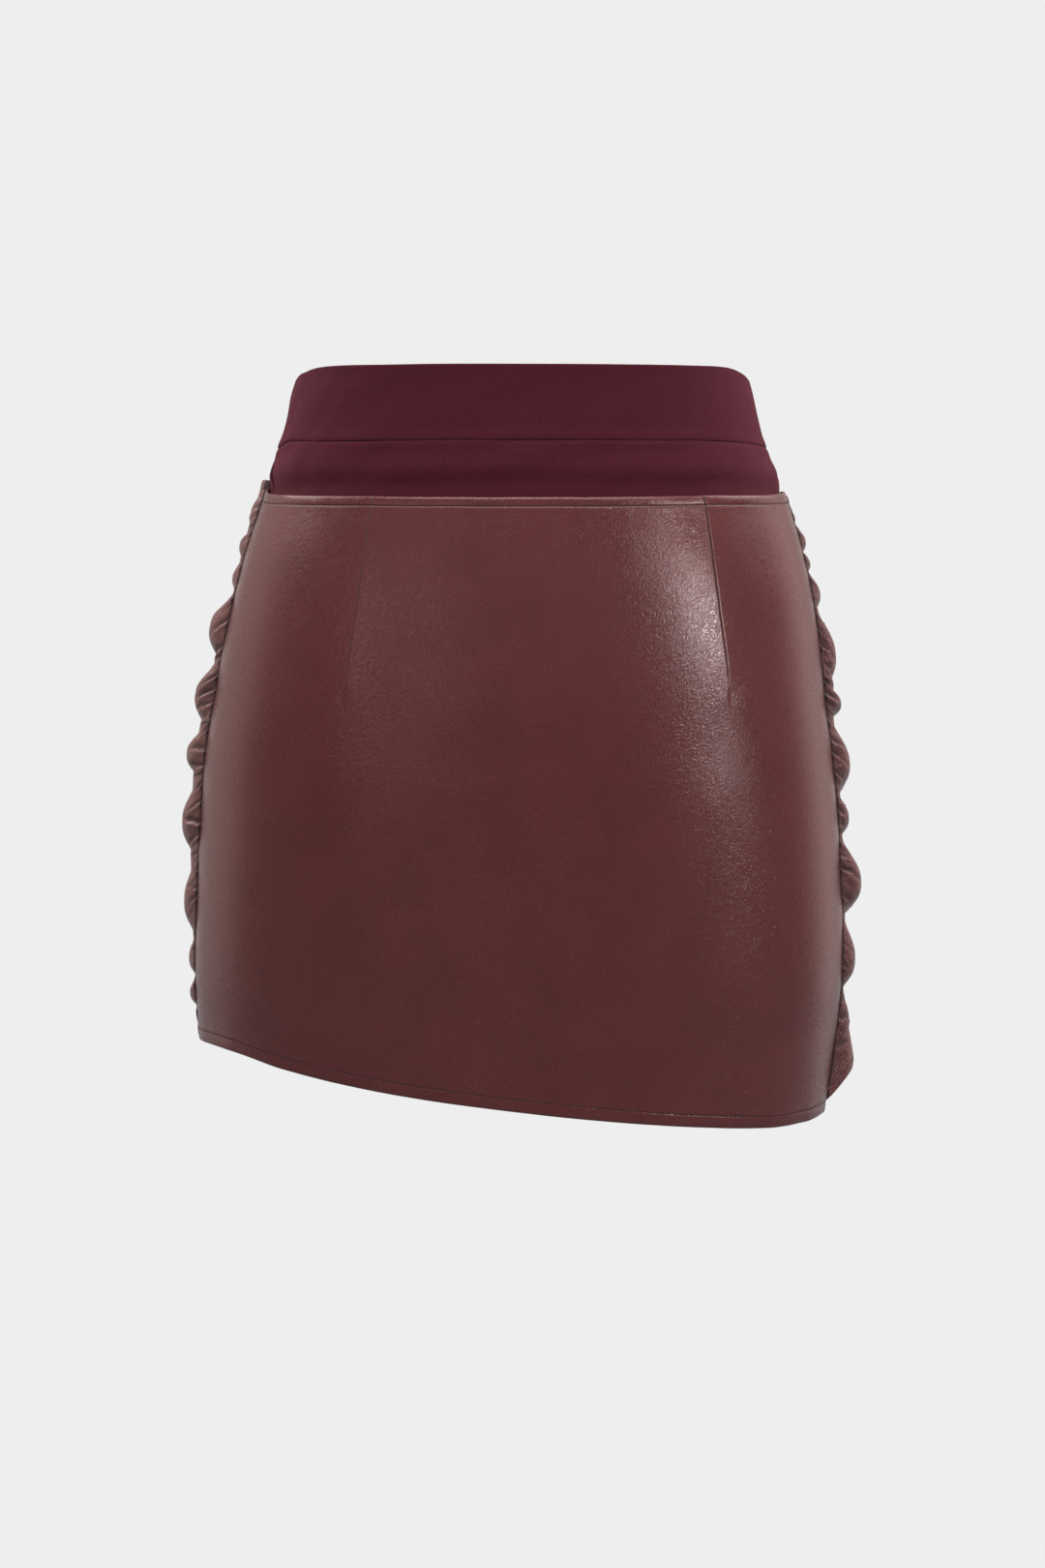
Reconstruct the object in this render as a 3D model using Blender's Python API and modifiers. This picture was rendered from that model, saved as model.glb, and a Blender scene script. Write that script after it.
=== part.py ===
"""Mini skirt of smooth leather with a ruched front, worn and hollow, on a knitted waistband.

The script works in metres, +Z up. The origin is the middle of the waist opening, level with the
waistband's top edge. -Y is the plain back with its two darts, +Y the gathered front, and +X the
wearer's right. Sizes and tables are in millimetres until a point is placed. Angles turn
counter-clockwise seen from above, from 0 at +X, so a larger angle is further right for someone
who looks at the cloth from outside.
"""

import math
from collections import namedtuple

import bmesh
import bpy
from mathutils import Vector

MM = 0.001

# Cloth
LEATHER = 1.2  # one layer
TURNED = 2.0  # where an edge is folded under and pressed flat
KNIT = 1.2  # the yoke, one layer
BAND = 2.4  # the waistband, folded double over its elastic
SEAM_GAP = 0.35  # between two pieces at a seam
EDGE_TURN = 5.3  # width of the leather's turned top edge
HEM_TURN = 6.6  # width of its turned hem

# Worn outline
ROUNDNESS = 2.3  # exponent of the rings: 2 is an ellipse, more is squarer
SEAM_BEHIND = 10.0  # the side seams lie this far behind the widest line

Ring = namedtuple("Ring", "height left right back front")
RINGS = (
    Ring(20, 121.5, 121.5, 87.0, 84.5),
    Ring(0, 123.5, 123.5, 88.0, 85.0),
    Ring(-13, 126.9, 126.6, 90.0, 86.0),
    Ring(-26, 129.6, 129.6, 93.0, 87.5),
    Ring(-39, 133.2, 132.8, 96.0, 89.0),
    Ring(-51, 137.0, 137.9, 99.5, 91.0),
    Ring(-64, 140.4, 143.4, 104.0, 94.0),
    Ring(-81, 145.9, 148.6, 107.5, 96.0),
    Ring(-100, 151.8, 153.7, 111.0, 98.5),
    Ring(-120, 157.0, 158.2, 114.0, 100.5),
    Ring(-148, 163.2, 162.2, 117.0, 103.0),
    Ring(-175, 167.9, 165.0, 119.0, 104.5),
    Ring(-202, 172.6, 168.1, 120.0, 106.0),
    Ring(-230, 175.0, 171.3, 120.5, 107.0),
    Ring(-262, 176.6, 173.1, 120.0, 107.5),
    Ring(-300, 178.2, 174.6, 118.5, 107.5),
    Ring(-330, 178.6, 174.4, 117.0, 107.0),
    Ring(-360, 176.8, 170.9, 115.5, 106.5),
    Ring(-400, 174.0, 165.6, 114.0, 106.0),
    Ring(-430, 172.0, 162.0, 113.0, 105.5),
)

# Knit
BAND_SEAM = (-37.0, -40.7, -40.2)  # lower edge of the waistband at left seam, middle, right seam
YOKE_END = -98.0  # the yoke's lower edge, inside the leather
YOKE_INSET = 3.0  # the yoke runs down behind the turned leather, clear of it
INSET_FROM, INSET_AT = -48.0, -64.0

# Leather back
EDGE_AT_SIDE = -64.0
EDGE_SLOPE = 0.071  # the top edge drops towards the middle of the back

Hem = namedtuple("Hem", "share height")  # share of the half width, -1 at the left seam
BACK_HEM = (
    Hem(-1.2, -357.0),
    Hem(-1.0, -363.0),
    Hem(-0.88, -367.6),
    Hem(-0.72, -376.3),
    Hem(-0.41, -387.7),
    Hem(0.0, -397.5),
    Hem(0.42, -404.3),
    Hem(0.80, -407.7),
    Hem(0.93, -405.9),
    Hem(1.0, -402.5),
    Hem(1.2, -398.0),
)

Dart = namedtuple("Dart", "share point")  # share of the half width, height of the dart's end
DARTS = (Dart(-0.557, -171.0), Dart(0.665, -173.0))
DART_DEPTH = 0.7
DART_TAPER = 60.0  # the crease deepens over this height above the point
DART_HALF_WIDTH = 1.6

# Leather front. Each row is a pinched crease that runs from seam to seam, and the puff of cloth
# under it. A crease's height is given at both seams, with its sag in the middle. Creases and
# puffs stand out from the worn outline by an amount at the left, at the right and in the middle.
# The first row is the top edge's stitching and the last row the hem's.
Fold = namedtuple(
    "Fold",
    "left right sag left_crease right_crease mid_crease left_puff right_puff mid_puff",
)
FOLDS = (
    Fold(-62.6, -71, -3, 4.1, 0.9, 1.6, 5.4, 1.4, 2.4),
    Fold(-84, -82, 3, 3.7, 0.9, 1.4, 5.6, 4.2, 4.2),
    Fold(-100, -96, 5, 3.0, 0.7, 3.4, 4.6, 3.6, 4.6),
    Fold(-118, -107, 7, 2.0, 1.4, 1.3, 10.9, 5.5, 5.2),
    Fold(-155, -126, 8, 4.2, 2.5, 1.0, 12.2, 9.6, 6.2),
    Fold(-192, -168, 9, 6.2, 6.6, 1.2, 11.6, 9.8, 5.6),
    Fold(-220, -186, 9, 6.8, 4.6, 3.6, 11.5, 10.8, 6.6),
    Fold(-263, -227, 8, 5.8, 3.2, 1.0, 8.4, 7.4, 5.0),
    Fold(-307, -249, 7, 2.4, 3.0, 3.0, 4.6, 12.6, 5.4),
    Fold(-329, -294, 5, 0.6, 2.6, 1.0, 4.4, 8.2, 4.6),
    Fold(-345, -335, 3, 0.8, 0.5, 1.6, 1.4, 10.4, 4.2),
    Fold(-354, -391, 0, 0.8, 13.0, 2.4, 0, 0, 0),
)
FRONT_ARC = 440.0  # from seam to seam round the hips
PUFF_RISE = 5.5  # distance from the seam in which a puff swells
PUFF_FULL = 13.0  # distance in which a puff keeps the seam's sizes
PUFF_REACH = 48.0  # further distance in which it gives way to the middle's drapes
PUFF_SHARPNESS = 0.75  # below 1 the creases are sharper than the crests
LEFT_DROOP, RIGHT_DROOP = 0.82, 1.25  # above 1 the crests hang lower than halfway
WANDER = 3.0  # how far the drapes stray up and down between the seams
HEM_TUCK = 15.0  # the last gather lifts the hem beside the right seam
TUCK_AT, TUCK_WIDTH = 21.0, 13.0

# Mesh densities
BACK_COLUMNS = (9, 12, 8)  # left of the darts, between them, right of them
BACK_CROWDING = 1.4  # above 1 the outer columns lie closer towards the seams
BACK_ROWS = 17
FRONT_COLUMNS = 40
FRONT_CROWDING = 0.75  # columns lie closer near the seams
PUFF_ROWS = 5
KNIT_COLUMNS = 28
BAND_ROWS = 4
YOKE_ROWS = 6

LEFT, RIGHT = -1, 1
FULL_TURN = 2 * math.pi


def along(start, end, share):
    return start + (end - start) * share


def ease(share):
    """A smooth step from 0 to 1."""
    share = min(1.0, max(0.0, share))
    return share * share * (3 - 2 * share)


def signed_power(base, exponent):
    return math.copysign(abs(base) ** exponent, base)


def row_at(rows, key, at):
    """The row for a value of its key, on a smooth curve through the table's rows."""
    rows = sorted(rows, key=lambda row: getattr(row, key))
    keys = [getattr(row, key) for row in rows]
    low = max(1, min(len(rows) - 3, sum(k <= at for k in keys) - 1))
    step = keys[low + 1] - keys[low]
    share = (at - keys[low]) / step
    values = []
    for before, start, end, after in zip(*rows[low - 1 : low + 3]):
        slope_start = (end - before) / (keys[low + 1] - keys[low - 1])
        slope_end = (after - start) / (keys[low + 2] - keys[low])
        values.append(
            along(start, end, ease(share))
            + step * share * (1 - share) ** 2 * slope_start
            - step * share**2 * (1 - share) * slope_end
        )
    return type(rows[0])(*values)


def form_point(angle, height):
    """A point of the worn outline."""
    ring = row_at(RINGS, "height", height)
    across = signed_power(math.cos(angle), 2 / ROUNDNESS)
    forward = signed_power(math.sin(angle), 2 / ROUNDNESS)
    half_width = ring.right if across > 0 else ring.left
    depth = ring.front if forward > 0 else ring.back
    return Vector((half_width * across, depth * forward, height))


def form_normal(angle, height):
    """The outward direction of the worn outline."""
    turn, drop = 0.03, 3.0
    around = form_point(angle + turn, height) - form_point(angle - turn, height)
    up = form_point(angle, height + drop) - form_point(angle, height - drop)
    return around.cross(up).normalized()


def moved_out(angle, height, distance):
    return form_point(angle, height) + form_normal(angle, height) * distance


def width_share(angle):
    """How far across the half width an angle lies, -1 at the far left."""
    return signed_power(math.cos(angle), 2 / ROUNDNESS)


def seam_angle(side, height, behind=SEAM_BEHIND):
    """Where a side seam crosses a height."""
    depth = row_at(RINGS, "height", height).back
    turn = math.asin((behind / depth) ** (ROUNDNESS / 2))
    return -turn if side == RIGHT else math.pi + turn


def back_angle(share, height):
    """The angle of a share of the back, from the left seam to the right one."""
    behind = SEAM_BEHIND + SEAM_GAP / 2
    left = seam_angle(LEFT, height, behind)
    right = seam_angle(RIGHT, height, behind) + FULL_TURN
    return along(left, right, share)


def front_angle(share, height):
    """The angle of a share of the front, from the right seam to the left one."""
    behind = SEAM_BEHIND - SEAM_GAP / 2
    right = seam_angle(RIGHT, height, behind)
    left = seam_angle(LEFT, height, behind)
    return along(right, left, share)


def cloth(name, columns, rows, place, wall, doubled_rows=(), folded_wall=0.0):
    """A closed wall of cloth. place(column, row) gives its outer points, row 0 at the bottom."""
    mesh = bpy.data.meshes.new(name)
    piece = bpy.data.objects.new(name, mesh)
    bpy.data.collections["Skirt"].objects.link(piece)
    doubled = piece.vertex_groups.new(name="doubled")

    grid = bmesh.new()
    bmesh.ops.create_grid(grid, x_segments=columns, y_segments=rows, size=1)
    in_doubled_rows = []
    for point in grid.verts:
        column = round((point.co.x + 1) / 2 * columns)
        row = round((point.co.y + 1) / 2 * rows)
        if row in doubled_rows:
            in_doubled_rows.append(point.index)
        point.co = place(column, row) * MM
    grid.to_mesh(mesh)
    grid.free()
    doubled.add(in_doubled_rows, 1.0, "REPLACE")
    mesh.shade_smooth()

    solidify = piece.modifiers.new("Wall", "SOLIDIFY")
    solidify.offset = -1
    solidify.thickness = max(wall, folded_wall) * MM
    if folded_wall:
        solidify.vertex_group = doubled.name
        solidify.thickness_vertex_group = wall / folded_wall
    return piece


def dart_shares():
    """Shares of the back's columns, with one column on each dart and one close to either side."""
    height = -120.0
    start, end = back_angle(0, height), back_angle(1, height)
    width = DART_HALF_WIDTH / (form_point(end, height) - form_point(start, height)).length / 1.5
    darts = []
    for dart in DARTS:
        angle = FULL_TURN - math.acos(signed_power(dart.share, ROUNDNESS / 2))
        darts.append((angle - start) / (end - start))
    stops = [0.0, darts[0], darts[1], 1.0]
    shares = []
    for stretch, count in enumerate(BACK_COLUMNS):
        first = stops[stretch] + (width if stretch > 0 else 0)
        last = stops[stretch + 1] - (width if stretch < 2 else 0)
        steps = [step / count for step in range(count + 1)]
        if stretch == 0:
            steps = [step**BACK_CROWDING for step in steps]
        if stretch == 2:
            steps = [1 - (1 - step) ** BACK_CROWDING for step in steps]
        shares += [along(first, last, step) for step in steps]
        if stretch < 2:
            shares.append(stops[stretch + 1])
    return shares, darts


def make_back_panel():
    shares, darts = dart_shares()
    plain_rows = BACK_ROWS

    def place(column, row):
        share = shares[column]
        middle = back_angle(share, -230.0)
        top = EDGE_AT_SIDE + EDGE_SLOPE * form_point(middle, EDGE_AT_SIDE).y
        hem = row_at(BACK_HEM, "share", width_share(middle)).height
        if row == 0:
            height = hem
        elif row == plain_rows + 2:
            height = top
        else:
            height = along(hem + HEM_TURN, top - EDGE_TURN, (row - 1) / plain_rows)
        depth = 0.0
        for dart, dart_share in zip(DARTS, darts):
            if share == dart_share:
                depth = DART_DEPTH * ease((height - dart.point) / DART_TAPER)
        return moved_out(back_angle(share, height), height, -depth)

    rows = plain_rows + 2
    doubled = (0, 1, rows - 1, rows)
    return cloth("back_panel", len(shares) - 1, rows, place, LEATHER, doubled, TURNED)


def crowded(share):
    """A share from 0 to 1 that moves slowly near both ends."""
    return along(share, (1 - math.cos(math.pi * share)) / 2, FRONT_CROWDING)


def front_mix(share, right, left, middle):
    """Blends a size from the right seam's, through the middle's, to the left seam's."""
    from_right = max(0.0, share * FRONT_ARC - PUFF_FULL)
    from_left = max(0.0, (1 - share) * FRONT_ARC - PUFF_FULL)
    near_right = math.exp(-((from_right / PUFF_REACH) ** 2))
    near_left = math.exp(-((from_left / PUFF_REACH) ** 2))
    return middle + (right - middle) * near_right + (left - middle) * near_left


def swell(share):
    """How much of a puff stands at a share of the front: nothing on the seams."""
    to_seam = min(share, 1 - share) * FRONT_ARC
    return 1 - math.exp(-((to_seam / PUFF_RISE) ** 1.5))


def crease_height(index, share):
    fold = FOLDS[index]
    between = math.sin(math.pi * share)
    inner = 0 < index < len(FOLDS) - 1
    wander = WANDER * between * math.sin(FULL_TURN * (1.3 * share + 0.37 * index)) * inner
    return along(fold.right, fold.left, share) - fold.sag * between + wander


def make_front_panel():
    puffs = len(FOLDS) - 1
    last_row = puffs * PUFF_ROWS + 2

    def place(column, row):
        share = crowded(column / FRONT_COLUMNS)
        # Puffs are counted from the top, rows from the hem.
        down = min(max(last_row - 1 - row, 0), puffs * PUFF_ROWS)
        index = min(down // PUFF_ROWS, puffs - 1)
        within = down / PUFF_ROWS - index
        upper, lower = FOLDS[index], FOLDS[index + 1]
        height = along(crease_height(index, share), crease_height(index + 1, share), within)
        if row == last_row:
            height += EDGE_TURN
        if row == 0:
            height -= HEM_TURN
        from_right = share * FRONT_ARC
        if index == puffs - 1:
            height += HEM_TUCK * within * math.exp(-(((from_right - TUCK_AT) / TUCK_WIDTH) ** 2))

        crease = along(
            front_mix(share, upper.right_crease, upper.left_crease, upper.mid_crease),
            front_mix(share, lower.right_crease, lower.left_crease, lower.mid_crease),
            within,
        )
        droop = along(RIGHT_DROOP, LEFT_DROOP, share)
        round_out = max(0.0, math.sin(math.pi * within**droop)) ** PUFF_SHARPNESS
        puff = round_out * front_mix(share, upper.right_puff, upper.left_puff, upper.mid_puff)
        rise = max(crease, along(crease, puff, round_out)) * swell(share)
        return moved_out(front_angle(share, height), height, rise)

    doubled = (0, 1, last_row - 1, last_row)
    return cloth("front_panel", FRONT_COLUMNS, last_row, place, LEATHER, doubled, TURNED)


def band_seam(angle):
    left, middle, right = BAND_SEAM
    share = width_share(angle)
    return middle + (right - left) / 2 * share + ((left + right) / 2 - middle) * share**2


def yoke_inset(height):
    return YOKE_INSET * ease((height - INSET_FROM) / (INSET_AT - INSET_FROM))


def make_waistband(name, angle_of):
    def place(column, row):
        share = column / KNIT_COLUMNS
        height = along(band_seam(angle_of(share, 0.0)), 0.0, row / BAND_ROWS)
        return form_point(angle_of(share, height), height)

    piece = cloth(name, KNIT_COLUMNS, BAND_ROWS, place, BAND)
    rounding = piece.modifiers.new("Folded edges", "BEVEL")
    rounding.width = BAND / 4 * MM
    rounding.segments = 2
    rounding.limit_method = "ANGLE"
    return piece


def make_yoke(name, angle_of):
    def place(column, row):
        share = column / KNIT_COLUMNS
        top = band_seam(angle_of(share, 0.0)) - SEAM_GAP
        height = along(YOKE_END, top, row / YOKE_ROWS)
        return moved_out(angle_of(share, height), height, -yoke_inset(height))

    return cloth(name, KNIT_COLUMNS, YOKE_ROWS, place, KNIT)


def make_material(name, color, roughness, sheen=0.0):
    material = bpy.data.materials.new(name)
    material.use_nodes = True
    shader = material.node_tree.nodes["Principled BSDF"]
    shader.inputs["Base Color"].default_value = (*color, 1.0)
    shader.inputs["Roughness"].default_value = roughness
    shader.inputs["Sheen Weight"].default_value = sheen
    material.diffuse_color = (*color, 1.0)
    return material


def build():
    for left_over in list(bpy.data.objects):
        bpy.data.objects.remove(left_over, do_unlink=True)
    skirt = bpy.data.collections.new("Skirt")
    bpy.context.scene.collection.children.link(skirt)

    leather = make_material("leather", (0.085, 0.026, 0.028), 0.38)
    knit = make_material("knit", (0.070, 0.012, 0.021), 0.85, sheen=0.3)
    made = {
        leather: (make_back_panel(), make_front_panel()),
        knit: (
            make_waistband("waistband_back", back_angle),
            make_waistband("waistband_front", front_angle),
            make_yoke("yoke_back", back_angle),
            make_yoke("yoke_front", front_angle),
        ),
    }
    for material, pieces in made.items():
        for piece in pieces:
            piece.data.materials.append(material)


build()
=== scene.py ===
import math

import bmesh
import bpy
import numpy as np
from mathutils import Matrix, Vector


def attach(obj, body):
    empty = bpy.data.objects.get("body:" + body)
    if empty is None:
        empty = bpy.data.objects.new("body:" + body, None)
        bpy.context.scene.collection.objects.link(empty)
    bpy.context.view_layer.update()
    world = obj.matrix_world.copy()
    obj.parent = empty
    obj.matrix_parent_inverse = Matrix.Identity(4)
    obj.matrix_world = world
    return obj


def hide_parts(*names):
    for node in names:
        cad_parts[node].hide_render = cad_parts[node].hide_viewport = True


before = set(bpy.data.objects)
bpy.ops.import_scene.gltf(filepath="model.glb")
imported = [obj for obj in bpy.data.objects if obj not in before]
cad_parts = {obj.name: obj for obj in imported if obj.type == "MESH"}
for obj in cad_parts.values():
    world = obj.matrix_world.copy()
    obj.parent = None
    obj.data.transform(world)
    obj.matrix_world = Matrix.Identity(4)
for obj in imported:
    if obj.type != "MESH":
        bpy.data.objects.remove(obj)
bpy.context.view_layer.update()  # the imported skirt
mm = 0.001  # sizes below are in millimetres and become metres when a mesh is made
fullTurn = 2 * math.pi
print("skirt: frame loaded")


def along(start, end, share):
    return start + (end - start) * share


def ease(share):
    share = np.clip(share, 0.0, 1.0)
    return share * share * (3 - 2 * share)


def bell(distance, reach, power=2.0):
    return np.exp(-np.abs(distance / reach) ** power)


def signedPower(base, exponent):
    return np.sign(base) * np.abs(base) ** exponent


def alike(*values):
    # the values as arrays of one shape
    return np.broadcast_arrays(*(np.asarray(value, float) for value in values))


def curveThrough(rows, at):
    # reads a table at values of its first column, on a smooth curve through its rows
    rows = np.array(sorted(rows), float)
    keys, at = rows[:, 0], np.atleast_1d(np.asarray(at, float))
    low = np.clip(np.searchsorted(keys, at, side="right") - 1, 1, len(keys) - 3)
    step = (keys[low + 1] - keys[low])[..., None]
    share = (at - keys[low])[..., None] / step
    before, start, end, after = (rows[low + n] for n in (-1, 0, 1, 2))
    slopeStart = (end - before) / (keys[low + 1] - keys[low - 1])[..., None]
    slopeEnd = (after - start) / (keys[low + 2] - keys[low])[..., None]
    bend = slopeStart * (1 - share) - slopeEnd * share
    return along(start, end, ease(share)) + step * share * (1 - share) * bend


def stops(length, step, fine=()):
    # positions from 0 to length, closer together in each fine zone: middle, reach, step
    at = np.linspace(0.0, length, 6001)
    density = np.full_like(at, 1 / step)
    for middle, reach, fineStep in fine:
        density += (1 / fineStep - 1 / step) * bell(at - middle, reach, 6)
    grown = np.concatenate([[0.0], np.cumsum((density[1:] + density[:-1]) / 2 * np.diff(at))])
    return np.interp(np.linspace(0, grown[-1], int(grown[-1]) + 1), grown, at)


# The worn outline that all the cloth follows. Rings: height, half width left and right,
# depth back and front. Angles turn counter-clockwise seen from above, from 0 at +X.
outline = {
    "rings": [
        (20, 121.5, 121.5, 87.0, 84.5), (0, 123.5, 123.5, 88.0, 85.0),
        (-13, 126.9, 126.6, 90.0, 86.0), (-26, 129.6, 129.6, 93.0, 87.5),
        (-39, 133.2, 132.8, 96.0, 89.0), (-51, 137.0, 137.9, 99.5, 91.0),
        (-64, 140.4, 143.4, 104.0, 94.0), (-81, 145.9, 148.6, 107.5, 96.0),
        (-100, 151.8, 153.7, 111.0, 98.5), (-120, 157.0, 158.2, 114.0, 100.5),
        (-148, 163.2, 162.2, 117.0, 103.0), (-175, 167.9, 165.0, 119.0, 104.5),
        (-202, 172.6, 168.1, 120.0, 106.0), (-230, 175.0, 171.3, 120.5, 107.0),
        (-262, 176.6, 173.1, 120.0, 107.5), (-300, 178.2, 174.6, 118.5, 107.5),
        (-330, 178.6, 174.4, 117.0, 107.0), (-360, 176.8, 170.9, 115.5, 106.5),
        (-400, 174.0, 165.6, 114.0, 106.0), (-430, 172.0, 162.0, 113.0, 105.5),
    ],
    "roundness": 2.3,
    "seamBehind": 10.0,  # the side seams lie this far behind the widest line
    "seamGap": 0.02,
    "hips": -230.0,  # lengths round the body are measured at this height
}


def formPoint(angle, height):
    angle, height = alike(angle, height)
    ring = curveThrough(outline["rings"], height)
    across = signedPower(np.cos(angle), 2 / outline["roundness"])
    forward = signedPower(np.sin(angle), 2 / outline["roundness"])
    width = np.where(across > 0, ring[..., 2], ring[..., 1])
    depth = np.where(forward > 0, ring[..., 4], ring[..., 3])
    return np.stack([width * across, depth * forward, np.atleast_1d(height)], -1)


def formNormal(angle, height):
    around = formPoint(angle + 0.03, height) - formPoint(angle - 0.03, height)
    up = formPoint(angle, height + 3) - formPoint(angle, height - 3)
    out = np.cross(around, up)
    return out / np.linalg.norm(out, axis=-1, keepdims=True)


def seamTurn(height, behind):
    depth = curveThrough(outline["rings"], height)[..., 3]
    return np.arcsin((behind / depth) ** (outline["roundness"] / 2))


def backAngle(share, height):  # from the left seam to the right one
    turn = seamTurn(height, outline["seamBehind"] + outline["seamGap"] / 2)
    return along(math.pi + turn, fullTurn - turn, share)


def frontAngle(share, height):  # from the right seam to the left one
    turn = seamTurn(height, outline["seamBehind"] - outline["seamGap"] / 2)
    return along(-turn, math.pi + turn, share)


def widthShare(angle):
    return signedPower(np.cos(angle), 2 / outline["roundness"])


def arcsOf(angleOf, height):
    # distance from the panel's first seam at each of many shares
    shares = np.linspace(0, 1, 2001)
    path = formPoint(angleOf(shares, height), height)
    steps = np.linalg.norm(np.diff(path, axis=0), axis=1)
    return shares, np.concatenate([[0.0], np.cumsum(steps)])


backShares, backArcs = arcsOf(backAngle, outline["hips"])


def turnedEdge(width, thick):
    # distance from the edge and depth behind the face: the hidden layer, then the round fold
    radius = thick / 2
    hidden = [(width * part, thick) for part in (1.1, 0.8, 0.5, 0.3)]
    turns = np.radians(np.linspace(0, 180, 8))
    return hidden + [(radius * (1 - math.sin(t)), radius * (1 + math.cos(t))) for t in turns]


def rolledSeam(radius, allowance):
    # the same for an edge that is sewn: the allowance stands inwards, then the edge rolls over
    turns = np.radians(np.linspace(0, 90, 5))
    inside = [(0.0, radius + allowance), (0.0, radius + allowance / 2)]
    return inside + [(radius * (1 - math.cos(t)), radius * (1 - math.sin(t))) for t in turns]


def seamColumns(width, spec, fine):
    # distance across and depth of every column, with a rolled seam at each end
    seam = rolledSeam(spec["seamRadius"], spec["seamAllowance"])
    inner = stops(width, spec["columnStep"], fine)
    clear = spec["seamRadius"] + spec["seamClear"], width - spec["seamRadius"] - spec["seamClear"]
    inner = inner[(inner > clear[0]) & (inner < clear[1])]
    farEnd = [(width - offset, depth) for offset, depth in seam[::-1]]
    return np.array(seam + [(at, 0.0) for at in inner] + farEnd)


def makeCloth(name, columns, rows, place, wall, materials):
    # Columns run round the body and rows up it. place gives each grid point's position, its
    # place on the flat cloth and its masks.
    grid = bmesh.new()
    bmesh.ops.create_grid(grid, x_segments=columns - 1, y_segments=rows - 1, size=1)
    mesh = bpy.data.meshes.new(name)
    grid.to_mesh(mesh)
    grid.free()
    corners = np.empty(len(mesh.vertices) * 3)
    mesh.vertices.foreach_get("co", corners)
    corners = corners.reshape(-1, 3)
    column = np.rint((corners[:, 0] + 1) / 2 * (columns - 1)).astype(int)
    row = np.rint((corners[:, 1] + 1) / 2 * (rows - 1)).astype(int)
    points, flat, masks = place(column, row)
    mesh.vertices.foreach_set("co", (points * mm).ravel())
    user = np.empty(len(mesh.loops), int)
    mesh.loops.foreach_get("vertex_index", user)
    mesh.uv_layers.new(name="cloth").data.foreach_set("uv", (flat[user] * mm).ravel())
    for maskName, values in masks.items():
        mask = mesh.attributes.new(maskName, "FLOAT", "POINT")
        mask.data.foreach_set("value", np.broadcast_to(values, len(points)).astype(np.float32))
    for material in materials:
        mesh.materials.append(material)
    mesh.shade_smooth()
    piece = bpy.data.objects.new(name, mesh)
    bpy.context.scene.collection.objects.link(piece)
    thickness = piece.modifiers.new("Wall", "SOLIDIFY")
    thickness.thickness = wall * mm
    thickness.offset = -1
    thickness.material_offset = 1  # the inner face shows the second material
    return piece


def sewLine(name, lines, thread, material):
    # Each line is a length and the function that gives points at a distance and a side step.
    # The thread is a thin tube that goes down into the cloth at each needle hole.
    sides, perStitch = 6, 6
    bm = bmesh.new()
    placed = []
    for length, pointAt in lines:
        count = int(length / thread["pitch"])
        steps = count * perStitch
        bmesh.ops.create_grid(bm, x_segments=steps, y_segments=sides, size=1)
        at = np.linspace(0.0, length, steps + 1)
        inStitch = (np.arange(steps + 1) % perStitch) / perStitch
        arch = np.abs(np.sin(math.pi * inStitch)) ** 0.5
        middle = pointAt(at, 0.0)
        forward = np.gradient(middle, axis=0)
        out = np.cross(forward, pointAt(at, 1.0) - pointAt(at, -1.0))
        forward, out = (v / np.linalg.norm(v, axis=1, keepdims=True) for v in (forward, out))
        side = np.cross(out, forward)
        around = np.linspace(0, fullTurn, sides + 1)
        swell = 0.35 + 0.65 * arch  # the thread is drawn thin at its holes
        wide, high = thread["width"] / 2 * swell, thread["height"] / 2 * swell
        lift = thread["lift"] - thread["dip"] * (1 - arch)
        ring = (middle + out * lift[:, None])[:, None]
        ring = ring + side[:, None] * (wide[:, None] * np.cos(around))[..., None]
        ring = ring + out[:, None] * (high[:, None] * np.sin(around))[..., None]
        placed.append(ring.transpose(1, 0, 2).reshape(-1, 3))
    points = np.concatenate(placed)
    mesh = bpy.data.meshes.new(name)
    bm.to_mesh(mesh)
    bm.free()
    mesh.vertices.foreach_set("co", (points * mm).ravel())
    mesh.materials.append(material)
    bm = bmesh.new()
    bm.from_mesh(mesh)
    bmesh.ops.remove_doubles(bm, verts=bm.verts, dist=1e-7)
    bmesh.ops.holes_fill(bm, edges=[edge for edge in bm.edges if edge.is_boundary], sides=sides)
    bmesh.ops.recalc_face_normals(bm, faces=bm.faces)
    bm.to_mesh(mesh)
    bm.free()
    mesh.shade_smooth()
    piece = bpy.data.objects.new(name, mesh)
    bpy.context.scene.collection.objects.link(piece)
    return piece


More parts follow.
